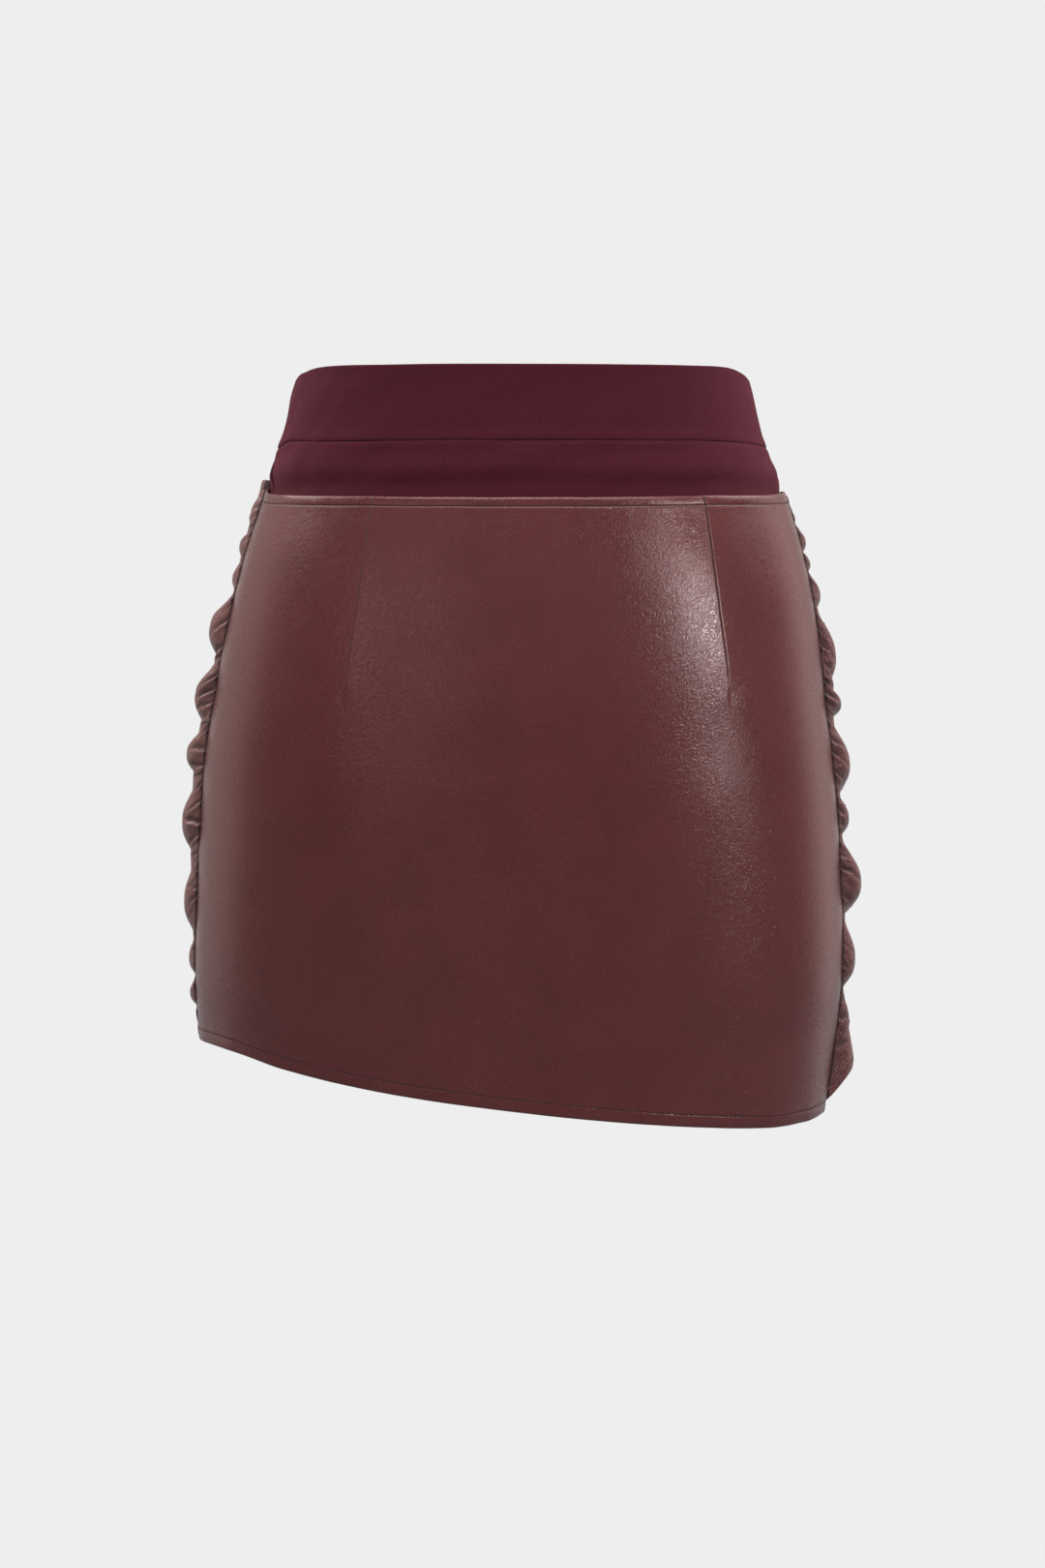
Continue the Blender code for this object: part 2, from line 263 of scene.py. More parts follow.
# The smooth leather back, from the left seam to the right one
backPanel = {
    "topBesideSeam": -64.0, "topSlope": 0.071,  # the top edge drops towards the middle
    "cornerRise": (3.0, 1.2), "cornerReach": 8.0,  # and turns up at the left and right seam
    "hem": [  # share of the half width, height
        (-1.2, -357.0), (-1.0, -363.0), (-0.88, -367.6), (-0.72, -376.3), (-0.41, -387.7),
        (0.0, -397.5), (0.42, -404.3), (0.8, -407.7), (0.93, -405.9), (1.0, -402.5), (1.2, -398.0),
    ],
    "turnedTop": 5.3, "turnedHem": 6.6, "turnedThick": 2.0, "wall": 0.9,
    "faceDepth": 1.5, "hiddenRoll": 0.3,  # cloth deeper than this is hidden, and rolls in less
    "seamRadius": 1.0, "seamAllowance": 1.2, "seamClear": 0.4,
    "darts": [  # share of the half width, height of the point, rise beside it, depth, rim, shade, bow
        (-0.562, -171.0, 0.7, 0.26, 0.03, 0.6, 2.1), (0.665, -171.5, 1.7, 0.45, 0.2, 0.95, -3.3),
    ],
    "bowAt": -120.0, "bowReach": (42.0, 50.0),  # up and across
    "dartSpread": 22.0, "dartTaper": 45.0, "dartWidth": 0.26, "dartPointTaper": 7.0,
    "dartFadeFrom": 12.0, "dartFade": 60.0, "dartRounding": (0.35, 16.0),
    "rimFrom": 0.25, "rimRise": 1.1, "rimTop": 1.35, "rimReach": 7.0,
    # along the top and along the hem
    "lineDepth": (0.3, 0.16), "lineShade": (0.75, 0.5), "stripPuff": (0.2, 0.1), "bodyPuff": (0.05, 0.04),
    "lineWidth": 0.36, "bodyPuffAt": 1.5,
    "dimples": [  # dart, distance from it, height, push outwards, reach across, reach up
        (1, 1.5, -178.5, -0.22, 2.6, 3.4), (1, -3.5, -179.0, 0.12, 3.0, 4.5),
        (1, 0.6, -176.5, -0.3, 1.1, 2.6), (0, -1.0, -178.0, -0.22, 2.5, 4.0),
        (0, 3.5, -176.0, 0.14, 3.0, 4.0),
    ],
    "puckerSlant": 0.35, "puckerFrom": 7.0,
    "seamPuckers": [  # seam, height, push outwards, reach up, reach in
        ("left", -96, 0.5, 9, 9), ("left", -131, -0.5, 6, 8), ("left", -158, 0.55, 10, 12),
        ("left", -196, -0.5, 7, 9), ("left", -221, 0.5, 9, 10), ("left", -250, -0.9, 5, 9),
        ("left", -262, 0.9, 8, 12), ("left", -297, -0.5, 8, 9), ("left", -318, 0.5, 9, 10),
        ("left", -342, -0.4, 6, 8), ("right", -90, 0.5, 9, 9), ("right", -128, -0.45, 7, 9),
        ("right", -147, 0.5, 8, 9), ("right", -186, -0.8, 6, 9), ("right", -203, 0.8, 8, 10),
        ("right", -224, -0.5, 6, 8), ("right", -252, 0.6, 9, 10), ("right", -275, -0.9, 6, 9),
        ("right", -296, 0.8, 9, 11), ("right", -326, -0.5, 8, 10), ("right", -356, 0.6, 10, 12),
        ("right", -385, -0.4, 7, 9),
    ],
    "edgeWaves": [(61.0, 0.16, 0.3), (33.0, 0.10, 2.1), (17.0, 0.05, 4.4)],  # length, height, start
    "waveReach": 16.0,
    "columnStep": 2.45, "rowStep": 2.45, "bodyHigh": 290.0,
    "topZone": (9.0, 0.95), "hemZone": (10.5, 1.0),  # height and step of the rows beside an edge
    "lineRows": (1.1, 0.22),  # reach and step of the rows at a stitched line
}


def dartArcs():
    found = []
    for dart in backPanel["darts"]:
        angle = fullTurn - math.acos(signedPower(dart[0], outline["roundness"] / 2))
        start, end = backAngle(np.array([0.0, 1.0]), backPanel["bowAt"])
        found.append(float(np.interp((angle - start) / (end - start), backShares, backArcs)))
    return found


dartAt = dartArcs()
backScaleHeights = np.arange(-420.0, 0.0, 10.0)
backScales = [arcsOf(backAngle, height)[1][-1] / backArcs[-1] for height in backScaleHeights]


def backHeight(arc, part, offset):
    # part is 0 along the hem and 1 along the top edge, offset the distance from that edge
    spec = backPanel
    middle = backAngle(np.interp(arc, backArcs, backShares), outline["hips"])
    top = spec["topBesideSeam"] + spec["topSlope"] * formPoint(middle, spec["topBesideSeam"])[..., 1]
    top = top + spec["cornerRise"][0] * np.exp(-arc / spec["cornerReach"])
    top = top + spec["cornerRise"][1] * np.exp((arc - backArcs[-1]) / spec["cornerReach"])
    hem = curveThrough(spec["hem"], widthShare(middle))[..., 1]
    return along(hem + offset, top - offset, part), top, hem


def dartBow(arc, height):
    # the darts are straight as worn, so their lines bow a little on the flat cloth
    bow = np.zeros_like(arc)
    for at, dart in zip(dartAt, backPanel["darts"]):
        nearHeight = bell(height - backPanel["bowAt"], backPanel["bowReach"][0])
        bow += dart[-1] * nearHeight * bell(arc - at, backPanel["bowReach"][1])
    return bow


def backRelief(arc, height, top, hem):
    # how far the face stands off the worn outline, and the painted shade along darts and stitched lines
    spec = backPanel
    scale = np.interp(height, backScaleHeights, backScales)
    relief = np.zeros_like(height)
    paintedShade = np.zeros_like(height)
    for at, (_, point, rise, depth, rim, shade, _) in zip(dartAt, spec["darts"]):
        across = (arc - at) * scale
        opened = ease((height - point) / spec["dartTaper"])
        below = ease((point + spec["dartFadeFrom"] - height) / spec["dartFade"])
        rounding = spec["dartRounding"][0] + spec["dartRounding"][1] * below
        relief += rise * (1 - below) * np.exp(-np.sqrt(across**2 + rounding**2) / spec["dartSpread"])
        sharp = ease((height - point) / spec["dartPointTaper"])
        relief -= depth * (0.35 + 0.65 * opened) * sharp * bell(across, spec["dartWidth"])
        rimmed = rim * sharp * ease((across - spec["rimFrom"]) / spec["rimRise"])
        relief += rimmed * bell(np.maximum(across - spec["rimTop"], 0), spec["rimReach"])
        # painted shade along the dart line
        paintedShade = np.maximum(paintedShade, shade * sharp * bell(across, 0.4))
    for dart, across, level, push, reachAcross, reachUp in spec["dimples"]:
        beside = (arc - dartAt[dart]) * scale - across
        relief += push * bell(beside, reachAcross) * bell(height - level, reachUp)
    fromLeft, fromRight = arc * scale, (backArcs[-1] - arc) * scale
    for side, level, push, reachUp, reachIn in spec["seamPuckers"]:
        fromSeam = fromLeft if side == "left" else fromRight
        pucker = push * bell(height - level - fromSeam * spec["puckerSlant"], reachUp)
        relief += pucker * bell(fromSeam, reachIn) * ease(fromSeam / spec["puckerFrom"])
    edges = (0, top - height, spec["turnedTop"]), (1, height - hem, spec["turnedHem"])
    for end, edge, turned in edges:
        line = edge - turned
        relief -= spec["lineDepth"][end] * bell(line, spec["lineWidth"])
        relief += spec["stripPuff"][end] * bell(edge - turned * 0.5, turned * 0.36, 3)
        relief += spec["bodyPuff"][end] * bell(line - spec["bodyPuffAt"], 1.0)
        for length, high, start in spec["edgeWaves"]:
            wave = high * np.sin(fullTurn * arc / length + start + 0.2 * turned)
            relief += wave * bell(edge, spec["waveReach"])
        # painted shade along the stitched line
        paintedShade = np.maximum(paintedShade, spec["lineShade"][end] * bell(line, 0.4))
    return relief, paintedShade


def backPoint(arc, part, offset, depth=0.0):
    arc, part, offset, depth = alike(arc, part, offset, depth)
    height, top, hem = backHeight(arc, part, offset)
    angle = backAngle(np.interp(arc + dartBow(arc, height), backArcs, backShares), height)
    relief, paintedShade = backRelief(arc, height, top, hem)
    hidden = depth > backPanel["turnedThick"] * 0.45
    relief = np.where(hidden, np.maximum(relief, 0.0), relief)
    point = formPoint(angle, height) + formNormal(angle, height) * (relief - depth)[..., None]
    return point, height, top - height, height - hem, paintedShade


def makeBackPanel(materials):
    spec = backPanel
    width = backArcs[-1]
    hiddenTop = turnedEdge(spec["turnedTop"], spec["turnedThick"])
    hiddenHem = turnedEdge(spec["turnedHem"], spec["turnedThick"])
    fold = spec["turnedThick"] / 2
    topZone = fold + stops(*spec["topZone"], [(spec["turnedTop"] - fold, *spec["lineRows"])])[1:]
    hemZone = fold + stops(*spec["hemZone"], [(spec["turnedHem"] - fold, *spec["lineRows"])])[1:]
    between = stops(spec["bodyHigh"], spec["rowStep"])[1:-1] / spec["bodyHigh"]
    rows = [(0.0, offset, depth) for offset, depth in hiddenHem]
    rows += [(0.0, offset, 0.0) for offset in hemZone]
    rows += [(share, along(hemZone[-1], topZone[-1], share), 0.0) for share in between]
    rows += [(1.0, offset, 0.0) for offset in topZone[::-1]]
    rows += [(1.0, offset, depth) for offset, depth in hiddenTop[::-1]]
    rows = np.array(rows)
    fine = [(0.0, 6.0, 0.7), (width, 6.0, 0.7)] + [(at, 2.6, 0.27) for at in dartAt]
    columns = seamColumns(width, spec, fine)

    def place(column, row):
        arc, rollDepth = columns[column].T
        part, offset, foldDepth = rows[row].T
        depth = foldDepth + rollDepth * np.where(foldDepth > spec["faceDepth"], spec["hiddenRoll"], 1.0)
        point, height, fromTop, fromHem, paintedShade = backPoint(arc, part, offset, depth)
        # painted shade where the seam's edge rolls in
        rollShade = ease(rollDepth / (0.5 * spec["seamRadius"]))
        line = np.where(part > 0.5, fromTop - spec["turnedTop"], fromHem - spec["turnedHem"])
        masks = {
            "paintedShade": np.maximum(paintedShade, rollShade) * (foldDepth < spec["faceDepth"]),
            "pastLine": line * mm, "gathered": 0.0, "pale": 0.0,
        }
        return point, np.stack([arc, height], -1), masks

    print("back panel:", len(columns), "columns,", len(rows), "rows")
    return makeCloth("backPanel", len(columns), len(rows), place, spec["wall"], materials)


# The ruched leather front, from the right seam to the left one
frontPanel = {
    # Each row is a pinched crease that runs from seam to seam and the puff under it: height at
    # the left and right seam, sag in the middle; how far the crease stands out at the left, at
    # the right and in the middle; the same for the puff. The first row is the top edge's
    # stitching, the last one the hem's.
    "folds": np.array([
        (-63.0, -71, -3, 4.1, 0.9, 1.6, 5.4, 1.4, 2.4), (-84, -82, 3, 3.7, 0.9, 1.4, 5.6, 4.2, 4.2),
        (-100, -96, 5, 3.0, 0.7, 3.4, 4.6, 3.6, 4.6), (-118, -107, 7, 2.0, 1.4, 1.3, 10.9, 5.5, 5.2),
        (-155, -126, 8, 4.2, 2.5, 1.0, 12.2, 9.6, 6.2), (-192, -168, 9, 6.2, 6.6, 1.2, 11.6, 9.8, 5.6),
        (-220, -186, 9, 6.8, 4.6, 3.6, 11.5, 10.8, 6.6), (-263, -227, 8, 5.8, 3.2, 1.0, 8.4, 7.4, 5.0),
        (-307, -249, 7, 2.4, 3.0, 3.0, 4.6, 12.6, 5.4), (-329, -294, 5, 0.6, 2.6, 1.0, 4.4, 8.2, 4.6),
        (-345, -335, 3, 0.8, 2.0, 1.6, 1.4, 8.2, 4.2), (-354, -391, 0, 0.8, 13.0, 2.4, 0, 0, 0),
    ]),
    "width": 440.0, "puffRise": 5.5, "puffFull": 13.0, "puffReach": 48.0,
    "leftPeak": 0.52, "rightPeak": 0.56, "wander": 4.2, "drapes": 1.3,
    # the hem is drawn up by the right seam and falls back slowly across the front
    "hemTuck": 18.5, "tuckRise": 5.6, "tuckAt": 17.0, "tuckWidth": 38.0,
    # lean, spacing, height, start
    "crumples": [(0.9, 4.3, 0.75, 0.3), (0.35, 6.7, 0.7, 1.9), (1.7, 3.4, 0.45, 4.0)],
    "crumpleReach": 9.0, "crumpleShare": (0.55, 1.0),  # at the left and right seam
    "fan": 4.5, "fanReach": 9.0, "fanLevel": 11.0,  # creases run down and out from the seams
    "turnedTop": 5.3, "turnedHem": 6.6, "turnedThick": 2.0, "wall": 0.9,
    "faceDepth": 1.5, "hiddenRoll": 0.3,  # cloth deeper than this is hidden, and rolls in less
    "seamRadius": 1.0, "seamAllowance": 1.2, "seamClear": 0.4, "seamShade": 0.85, "cornerShade": 1.6,
    "seamTuck": (0.7, 1.6),  # depth and reach
    "leastRise": 0.25, "valleyShadeWidth": 1.0, "valleyShadeReach": 13.0,
    "drapeFrom": 18.0,  # drapes begin this far from a seam
    "lineDepth": 0.24, "lineWidth": 0.36, "lineShade": 0.65, "stripPuff": 0.2,
    "columnStep": 6.2, "rowStep": 0.95,
    "seamZones": [(20, 1.0), (3.6, 0.5)],  # reach and step of the columns beside a seam
    "lineRows": (1.2, 0.3), "foldRows": (0.9, 0.25),  # the same for rows at a line and a fold
    "stripSteps": (0.8, 0.9),  # of the rows on the turned strips along top and hem
    # gathers show most at the right seam, and the painted sheen, a paler colour for the light the puffs
    # catch, most at the left one
    "gatheredReach": 12.0, "paintedSheenReach": 15.0, "faintShare": 0.35,
    # Small pinches inside the puffs: place down the creases at the seam and at their far end,
    # reach from the seam, bend of the line, height and width
    "leftPinches": [
        (0.55, 0.95, 26, 0.8, 0.5, 1.6), (1.25, 1.7, 22, 0.8, 0.5, 1.6), (2.3, 2.75, 20, 0.7, 0.45, 1.5),
        (3.10, 3.52, 17, 0.62, 1.25, 1.7), (3.50, 3.86, 15, 0.7, 0.9, 1.5), (3.92, 4.10, 24, 0.9, 0.8, 1.5),
        (4.06, 4.20, 18, 0.9, 0.7, 1.4), (4.30, 4.70, 16, 0.75, 1.3, 1.7), (4.52, 4.82, 15, 0.8, 0.9, 1.4),
        (4.74, 4.93, 20, 0.8, 0.7, 1.4), (5.10, 5.55, 15, 0.7, 1.0, 1.5), (5.62, 5.52, 14, 0.8, 0.9, 1.5),
        (5.95, 5.78, 18, 0.9, 0.9, 1.4), (6.12, 6.40, 14, 0.8, 0.9, 1.5), (6.36, 6.62, 13, 0.8, 0.8, 1.4),
        (6.70, 6.52, 16, 0.9, 1.3, 1.6), (6.80, 6.97, 14, 0.8, 0.9, 1.5), (7.22, 7.38, 12, 0.8, 0.7, 1.4),
        (7.52, 7.40, 12, 0.8, 0.8, 1.4), (7.55, 7.88, 14, 0.8, 0.8, 1.4), (8.25, 8.62, 12, 0.8, 0.6, 1.4),
        (9.30, 9.66, 12, 0.8, 0.6, 1.3),
    ],
    "rightPinches": [
        (0.50, 0.90, 16, 0.8, 0.4, 1.4), (1.35, 1.75, 16, 0.8, 0.5, 1.4), (2.30, 2.72, 16, 0.8, 0.5, 1.4),
        (3.28, 3.80, 18, 0.8, 0.7, 1.5), (4.14, 4.34, 17, 0.7, 0.9, 1.4), (4.34, 4.70, 14, 0.7, 1.2, 1.5),
        (4.56, 4.92, 18, 0.75, 1.0, 1.5), (4.80, 4.97, 10, 0.8, 0.8, 1.3), (5.12, 5.46, 17, 0.8, 0.9, 1.5),
        (5.50, 5.86, 14, 0.7, 1.2, 1.5), (5.86, 6.06, 16, 0.8, 0.9, 1.4), (6.12, 6.30, 16, 0.8, 0.8, 1.5),
        (6.40, 6.58, 18, 0.7, 1.1, 1.6), (6.56, 6.84, 16, 0.75, 1.0, 1.5), (6.82, 6.97, 12, 0.8, 0.8, 1.3),
        (7.25, 7.45, 12, 0.8, 0.8, 1.3), (7.62, 7.86, 12, 0.8, 0.9, 1.3), (8.16, 8.34, 15, 0.8, 0.8, 1.4),
        (8.42, 8.30, 15, 0.9, 0.8, 1.4), (8.52, 8.74, 17, 0.8, 1.2, 1.6), (8.86, 8.97, 14, 0.8, 0.9, 1.4),
        (9.22, 9.34, 12, 0.8, 0.7, 1.3), (9.50, 9.62, 14, 0.8, 0.9, 1.4), (9.78, 9.86, 12, 0.8, 0.7, 1.3),
        (10.16, 10.30, 18, 0.8, 0.9, 1.6), (10.34, 10.52, 22, 0.7, 1.2, 1.8),
        (10.62, 10.95, 22, 0.8, 0.8, 2.0),
    ],
    # Longer drapes that fork off the main ones and fade across the front
    "leftDrapes": [
        (1.45, 1.9, 120, 0.9, 1.2, 3.2), (2.55, 3.1, 90, 0.9, 1.2, 3.0), (3.30, 4.35, 150, 0.9, 1.8, 3.6),
        (3.72, 4.62, 95, 0.9, 1.5, 3.0), (4.40, 5.45, 170, 0.9, 1.8, 3.8), (4.80, 5.7, 100, 0.9, 1.5, 3.0),
        (5.35, 6.25, 140, 0.9, 1.7, 3.4), (6.30, 6.9, 120, 0.9, 1.7, 3.4), (6.72, 7.55, 160, 0.9, 1.5, 3.4),
        (7.40, 8.2, 120, 0.9, 1.4, 3.2), (8.30, 9.1, 150, 0.9, 1.2, 3.2), (9.35, 9.9, 110, 0.9, 1.0, 3.0),
    ],
    "rightDrapes": [
        (1.30, 1.75, 80, 0.9, 1.0, 3.0), (2.40, 2.9, 120, 0.9, 1.2, 3.2), (3.35, 3.9, 100, 0.9, 1.4, 3.2),
        (4.30, 4.75, 160, 0.9, 1.8, 3.6), (4.72, 5.25, 90, 0.9, 1.5, 3.0), (5.40, 5.9, 130, 0.9, 1.6, 3.4),
        (6.25, 6.72, 170, 0.9, 1.8, 3.8), (6.70, 7.2, 100, 0.9, 1.5, 3.2), (7.45, 8.0, 120, 0.9, 1.5, 3.2),
        (8.25, 8.62, 160, 0.9, 1.8, 3.8), (8.66, 9.2, 100, 0.9, 1.5, 3.2), (9.40, 9.85, 150, 0.9, 1.5, 3.4),
        (10.30, 10.45, 170, 0.9, 1.5, 3.8), (10.62, 10.7, 110, 0.9, 1.2, 3.6),
    ],
}


def frontMix(distance, right, left, middle):
    spec = frontPanel
    nearRight = bell(np.maximum(0.0, distance - spec["puffFull"]), spec["puffReach"])
    nearLeft = bell(np.maximum(0.0, spec["width"] - distance - spec["puffFull"]), spec["puffReach"])
    return middle + (right - middle) * nearRight + (left - middle) * nearLeft


def creaseHeight(index, distance):
    spec = frontPanel
    fold = spec["folds"][index]
    share = distance / spec["width"]
    between = np.sin(math.pi * np.clip(share, 0, 1))
    inner = (index > 0) & (index < len(spec["folds"]) - 1)
    wander = np.sin(fullTurn * (1.3 * share + 0.37 * index))
    wander = wander + 0.45 * np.sin(fullTurn * (2.9 * share + 0.23 * index**2))
    wander = spec["wander"] * between * wander
    reach = spec["fanReach"]
    fan = np.exp(-distance / reach) + np.exp((distance - spec["width"]) / reach)
    fan = fan - math.exp(-spec["fanLevel"] / reach)
    height = along(fold[..., 1], fold[..., 0], share) - fold[..., 2] * between
    return height + (wander + spec["fan"] * fan) * inner


def pinchRelief(distance, down, puffHigh, pinches, begin, hold):
    # small folds that start at a distance from the seam and die out towards their reach
    relief = np.zeros_like(distance)
    for start, end, reach, bend, high, wide in pinches:
        line = along(start, end, np.clip(distance / reach, 0, 1.3) ** bend)
        off = (down - line) * puffHigh
        fade = ease((distance - begin) / (1.5 + begin))
        fade = fade * (1 - ease((distance / reach - hold) / (0.55 + hold)))
        crest = 0.6 * bell(off, wide, 1.6) + 0.5 * bell(off, 0.5 * wide, 1.2)
        crest = crest - 0.7 * bell(off + 1.6 * wide, 1.1 * wide)
        relief += high * fade * crest
    return relief


def crumpleRelief(distance, height, start):
    # sharp little creases that crowd together along a seam and run down and away from it
    spec = frontPanel
    relief = np.zeros_like(distance)
    for lean, apart, high, turn in spec["crumples"]:
        turn = turn + start
        stray = 1.1 * np.sin(height / 9.7 + turn) + 0.8 * np.sin(distance / 3.1 - height / 6.3 + 2 * turn)
        line = np.abs(np.sin((height + lean * distance) * math.pi / apart + stray))
        patch = 0.6 + 0.4 * np.sin(height / 15.0 + distance / 9.0 + 3 * turn)
        relief += high * patch * ((1 - line) ** 1.6 - 0.3)
    reach = spec["crumpleReach"]
    return relief * ease((distance - 0.6) / 1.6) * (1 - ease((distance - reach * 0.4) / reach))


def puffShape(within, peak):
    # a puff swells from the crease above it and drops late and steeply to the one below
    up = np.clip(within / peak, 0, 1)
    down = np.clip((1 - within) / (1 - peak), 0, 1)
    return np.where(within < peak, 1 - (1 - up) ** 2.1, (1 - (1 - down) ** 3.0) ** 0.8)


def puffedFront(distance, down, edge):
    # the puffs and main creases; also the distances from the lines stitched along top and hem
    spec = frontPanel
    folds = spec["folds"]
    puffs = len(folds) - 1
    index = np.clip(np.floor(down), 0, puffs - 1).astype(int)
    within = np.clip(down - index, 0, 1)
    upperLine, lowerLine = creaseHeight(index, distance), creaseHeight(index + 1, distance)
    height = along(upperLine, lowerLine, down - index) + edge
    tuck = bell(np.maximum(distance - spec["tuckAt"], 0.0), spec["tuckWidth"])
    tuck = tuck * (1 - np.exp(-(np.clip(distance, 0, None) / spec["tuckRise"]) ** 1.6))
    height = height + (index == puffs - 1) * spec["hemTuck"] * (down - index) * tuck
    share = distance / spec["width"]
    upper, lower = folds[index], folds[index + 1]
    crease = along(
        frontMix(distance, upper[..., 4], upper[..., 3], upper[..., 5]),
        frontMix(distance, lower[..., 4], lower[..., 3], lower[..., 5]), within)
    roundOut = puffShape(within, along(spec["rightPeak"], spec["leftPeak"], share))
    puff = roundOut * frontMix(distance, upper[..., 7], upper[..., 6], upper[..., 8])
    rise = np.maximum(crease, along(crease, puff, roundOut))
    toSeam = np.minimum(distance, spec["width"] - distance)
    swell = 1 - np.exp(-(np.clip(toSeam, 0, None) / spec["puffRise"]) ** 1.5)
    tuckDepth, tuckReach = spec["seamTuck"]
    rise = np.maximum(rise, spec["leastRise"]) * swell - tuckDepth * bell(toSeam, tuckReach)
    topLine = creaseHeight(np.zeros_like(index), distance)
    hemLine = creaseHeight(np.full_like(index, puffs), distance) + spec["hemTuck"] * tuck
    angle = frontAngle(share, height)
    out = formNormal(angle, height)
    point = formPoint(angle, height) + out * rise[..., None]
    puffHigh = np.abs(upperLine - lowerLine)
    # painted shade in the valleys between puffs, near the seams
    valleyShade = bell(np.minimum(within, 1 - within) * puffHigh, spec["valleyShadeWidth"])
    valleyShade = valleyShade * bell(toSeam, spec["valleyShadeReach"], 3)
    valleyShade = valleyShade * ease(down / 0.3) * ease((puffs - down) / 0.3)
    return point, out, rise, height, topLine - height, height - hemLine, puffHigh, valleyShade


def frontPoint(distance, down, edge=0.0, depth=0.0):
    # down counts the creases from the top; edge is the height past the first or last one
    spec = frontPanel
    distance, down, edge, depth = alike(distance, down, edge, depth)
    puffs = len(spec["folds"]) - 1
    point, out, rise, height, fromTop, fromHem, puffHigh, valleyShade = puffedFront(distance, down, edge)
    inside = np.clip(down, 0.02, puffs - 0.02)
    left, right = (puffedFront(distance + step, down, edge)[0] for step in (0.4, -0.4))
    above, below = (puffedFront(distance, inside + step, edge)[0] for step in (-0.015, 0.015))
    facing = np.cross(left - right, above - below)
    facing /= np.linalg.norm(facing, axis=-1, keepdims=True)
    fromLeft = spec["width"] - distance
    pinches = pinchRelief(fromLeft, down, puffHigh, spec["leftPinches"], 0.0, 0.15)
    pinches = pinches + pinchRelief(distance, down, puffHigh, spec["rightPinches"], 0.0, 0.1)
    drapeFrom, (leftShare, rightShare) = spec["drapeFrom"], spec["crumpleShare"]
    drapes = pinchRelief(fromLeft, down, puffHigh, spec["leftDrapes"], drapeFrom, 0.35)
    drapes = drapes + pinchRelief(distance, down, puffHigh, spec["rightDrapes"], drapeFrom, 0.35)
    pinches = pinches + spec["drapes"] * drapes
    pinches = pinches + leftShare * crumpleRelief(fromLeft, height, 0.0)
    pinches = pinches + rightShare * crumpleRelief(distance, height, 1.7)
    pinches = pinches * ease(down / 0.35) * ease((puffs - down) / 0.2)
    fromTopLine = np.where(down > 1, 30.0, fromTop)
    fromHemLine = np.where(down < puffs - 1, 30.0, fromHem)
    face = depth < 0.5
    paintedShade = np.zeros_like(distance)
    sewn = np.zeros_like(distance)
    for line, turned in ((fromTopLine, spec["turnedTop"]), (fromHemLine, spec["turnedHem"])):
        sewn = sewn - spec["lineDepth"] * bell(line, spec["lineWidth"]) * face
        sewn = sewn + spec["stripPuff"] * bell(line + turned * 0.5, turned * 0.36, 3)
        # painted shade along the stitched line
        paintedShade = np.maximum(paintedShade, spec["lineShade"] * bell(line, 0.4) * face)
    point = point + facing * pinches[..., None] + out * (sewn - depth)[..., None]
    toSeam = np.minimum(distance, fromLeft)
    # painted shade beside the seams, deeper in the top corners, and in the pinched creases
    shadeUpTo = spec["seamShade"] + spec["cornerShade"] * (fromTopLine < 0)
    seamShade = (1 - ease((rise - shadeUpTo) / 0.6)) * (1 - ease((toSeam - 3.0) / 2.0))
    creaseShade = np.clip(-pinches / 0.45, 0, 1) * bell(toSeam, 14.0, 4)
    paintedShade = np.maximum.reduce([paintedShade, seamShade, valleyShade, 0.8 * creaseShade])
    return point, height, fromTopLine, fromHemLine, paintedShade


